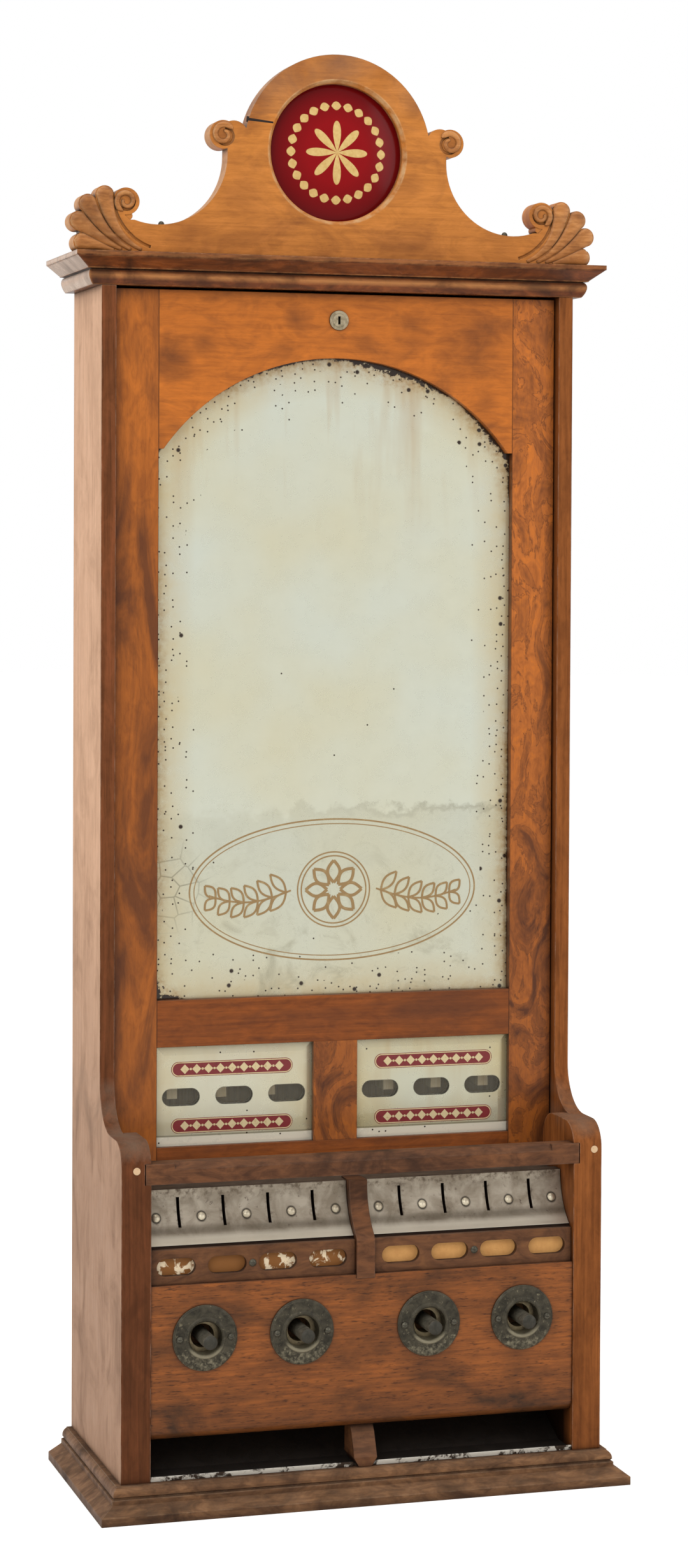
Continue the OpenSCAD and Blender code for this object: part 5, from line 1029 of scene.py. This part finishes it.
# Bronze line ornament on the mirror: a rosette with a leaf spray to each side, in a fine oval
spray = {"z": 380.0, "face": 11.3, "thick": 0.1, "layer": 0.02,
         "rounds": [(24.5, 24.5, 0.9, 72), (22.0, 22.0, 0.9, 72), (97.0, 46.0, 1.0, 120), (94.0, 43.0, 0.6, 120)],
         "petals": 8, "petal": (4.5, 19.0, 4.2), "petalLine": 2.0, "petalSteps": 14,
         "stem": (29.0, 84.0, 7.0), "stemBow": 0.9, "stemLine": 1.17, "stemSteps": 30,
         "leaves": 6, "leafSpan": (0.06, 0.86), "leaf": (16.0, 3.2), "leafLean": 48, "leafTaper": 0.4, "leafLine": 1.35,
         "leafSteps": 10}


def bowedLine(near, far, bulge, turn, s):  # point on a bowed line that is turned about the origin
    out, off = near + (far - near) * s, bulge * math.sin(math.pi * s)
    return (out * math.cos(turn) - off * math.sin(turn), out * math.sin(turn) + off * math.cos(turn))


def stemPoint(side, s):
    start, end, sag = spray["stem"]
    return (side * (start + (end - start) * s), spray["z"] - sag * math.sin(math.pi * s * spray["stemBow"]))


def petalPoint(turn, hand, s):
    near, far, bulge = spray["petal"]
    x, z = bowedLine(near, far, hand * bulge, turn, s)
    return (x, spray["z"] + z)


def leafPoint(foot, side, size, flank, lean, s):
    x, z = bowedLine(0.0, size, flank * spray["leaf"][1], lean, s)
    return (foot[0] + side * x, foot[1] + z)


fine, bold = bmesh.new(), bmesh.new()
for wide, tall, line, steps in spray["rounds"]:
    inkStroke(fine, lambda s: (wide * math.cos(2 * math.pi * s), spray["z"] + tall * math.sin(2 * math.pi * s)), line,
              steps, spray["face"], spray["thick"])
for k in range(spray["petals"]):
    for hand in (-1, 1):
        depth = spray["thick"] + spray["layer"] * (1 + 2 * (k % 2) + (hand > 0))  # its own depth where strokes cross
        inkStroke(bold, partial(petalPoint, 2 * math.pi * k / spray["petals"], hand), spray["petalLine"],
                  spray["petalSteps"], spray["face"], depth)
for side in (-1, 1):
    inkStroke(fine, partial(stemPoint, side), spray["stemLine"], spray["stemSteps"], spray["face"],
              spray["thick"] + spray["layer"] / 2)
    for k in range(spray["leaves"]):
        foot = stemPoint(side, spray["leafSpan"][0] + spray["leafSpan"][1] * k / (spray["leaves"] - 1))
        size = spray["leaf"][0] * (1.0 - spray["leafTaper"] * k / spray["leaves"])
        for hand in (-1, 1):
            lean = math.radians(hand * spray["leafLean"])
            for flank in (-1, 1):
                depth = spray["thick"] + spray["layer"] * (1 + 2 * (k % 2) + (flank > 0) + 4 * (hand > 0))
                inkStroke(bold, partial(leafPoint, foot, side, size, flank, lean), spray["leafLine"],
                          spray["leafSteps"], spray["face"], depth)
makePiece("mirrorSprayLines", fine, "door", bronzeInk)
makePiece("mirrorSprayLeaves", bold, "door", bronzeInk)
print("mirror ornament drawn")

# Camera fitted to the straight edges of the case in the photograph
shot = {"place": (-0.6197, -2.0673, 0.6015), "yaw": 16.76, "pitch": 1.60, "roll": 0.27, "focalPixels": 5227.1,
        "axisRow": 1008.64, "imageHeight": 2460, "sensor": 36.0}
yaw, pitch, roll = (math.radians(shot[key]) for key in ("yaw", "pitch", "roll"))
forward = Vector((math.sin(yaw) * math.cos(pitch), math.cos(yaw) * math.cos(pitch), -math.sin(pitch)))
right = Vector((math.cos(yaw), -math.sin(yaw), 0))
up = right.cross(forward)
tiltedRight = right * math.cos(roll) + up * math.sin(roll)
tiltedUp = up * math.cos(roll) - right * math.sin(roll)
cameraData = bpy.data.cameras.new("photoCamera")
cameraData.sensor_fit = "VERTICAL"
cameraData.sensor_height = shot["sensor"]
cameraData.lens = shot["focalPixels"] / shot["imageHeight"] * shot["sensor"]
cameraData.shift_y = -(shot["imageHeight"] / 2 - shot["axisRow"]) / shot["imageHeight"]
camera = bpy.data.objects.new("photoCamera", cameraData)
camera.matrix_world = Matrix((tiltedRight, tiltedUp, -forward)).transposed().to_4x4()
camera.location = shot["place"]
bpy.context.scene.collection.objects.link(camera)
bpy.context.scene.camera = camera

# Soft boxes round a white sweep
softBoxes = [{"name": "keyBox", "at": (-1.5, -2.2, 2.1), "size": 1.5, "watts": 24.0},
             {"name": "fillBox", "at": (2.1, -1.7, 1.3), "size": 1.6, "watts": 13.0},
             {"name": "sideBox", "at": (-2.3, 0.2, 1.5), "size": 1.3, "watts": 15.0},
             {"name": "topBox", "at": (0.1, -0.4, 2.6), "size": 1.4, "watts": 12.0}]
aim = Vector((0, 0, 0.5))
for box in softBoxes:
    lampData = bpy.data.lights.new(box["name"], "AREA")
    lampData.shape = "SQUARE"
    lampData.size = box["size"]
    lampData.energy = box["watts"]
    lamp = bpy.data.objects.new(box["name"], lampData)
    lamp.location = box["at"]
    lamp.rotation_euler = (aim - Vector(box["at"])).to_track_quat("-Z", "Y").to_euler()
    bpy.context.scene.collection.objects.link(lamp)

# White studio: a soft glow on the piece, pure white behind it
studio = {"glow": 0.7, "paper": 1.0, "white": "#ffffff"}
world = bpy.data.worlds.new("whiteStudio")
world.use_nodes = True
world.node_tree.nodes.clear()
add = partial(addNode, world.node_tree)
seen = add("LightPath", out="Is Camera Ray")
glow = add("Background", {"Color": studio["white"], "Strength": studio["glow"]})
paper = add("Background", {"Color": studio["white"], "Strength": studio["paper"]})
add("OutputWorld", {"Surface": add("MixShader", {0: seen, 1: glow, 2: paper})})
bpy.context.scene.world = world
bpy.context.scene.view_settings.view_transform = "Standard"

# White paper floor, burnt out to white as on a lit sweep
sweep = {"radius": 14.0, "segments": 64, "tooth": 4.0, "light": "#f6f5f2", "dark": "#f1f0ec", "lift": 0.42}
floorPaper, add = newMaterial("matWhitePaper")
tooth = add("TexNoise", {"Vector": add("TexCoord", out="Object"), "Scale": perMetre / sweep["tooth"], "Detail": 2.0})
paperTone = add("Mix", {0: tooth, 6: sweep["light"], 7: sweep["dark"]}, out=2, data_type="RGBA")
watched = add("LightPath", out="Is Camera Ray")
lift = add("Math", {0: watched, 1: sweep["lift"]}, operation="MULTIPLY")
shader = add("BsdfPrincipled", {"Base Color": paperTone, "Roughness": 0.9, "Emission Color": studio["white"],
                                "Emission Strength": lift})
add("OutputMaterial", {"Surface": shader})
bm = bmesh.new()
bmesh.ops.create_circle(bm, cap_ends=True, segments=sweep["segments"], radius=sweep["radius"])
floorMesh = bpy.data.meshes.new("paperFloor")
bm.to_mesh(floorMesh)
bm.free()
floorMesh.materials.append(floorPaper)
floor = bpy.data.objects.new("paperFloor", floorMesh)
bpy.context.scene.collection.objects.link(floor)
print("camera, lights and floor set")
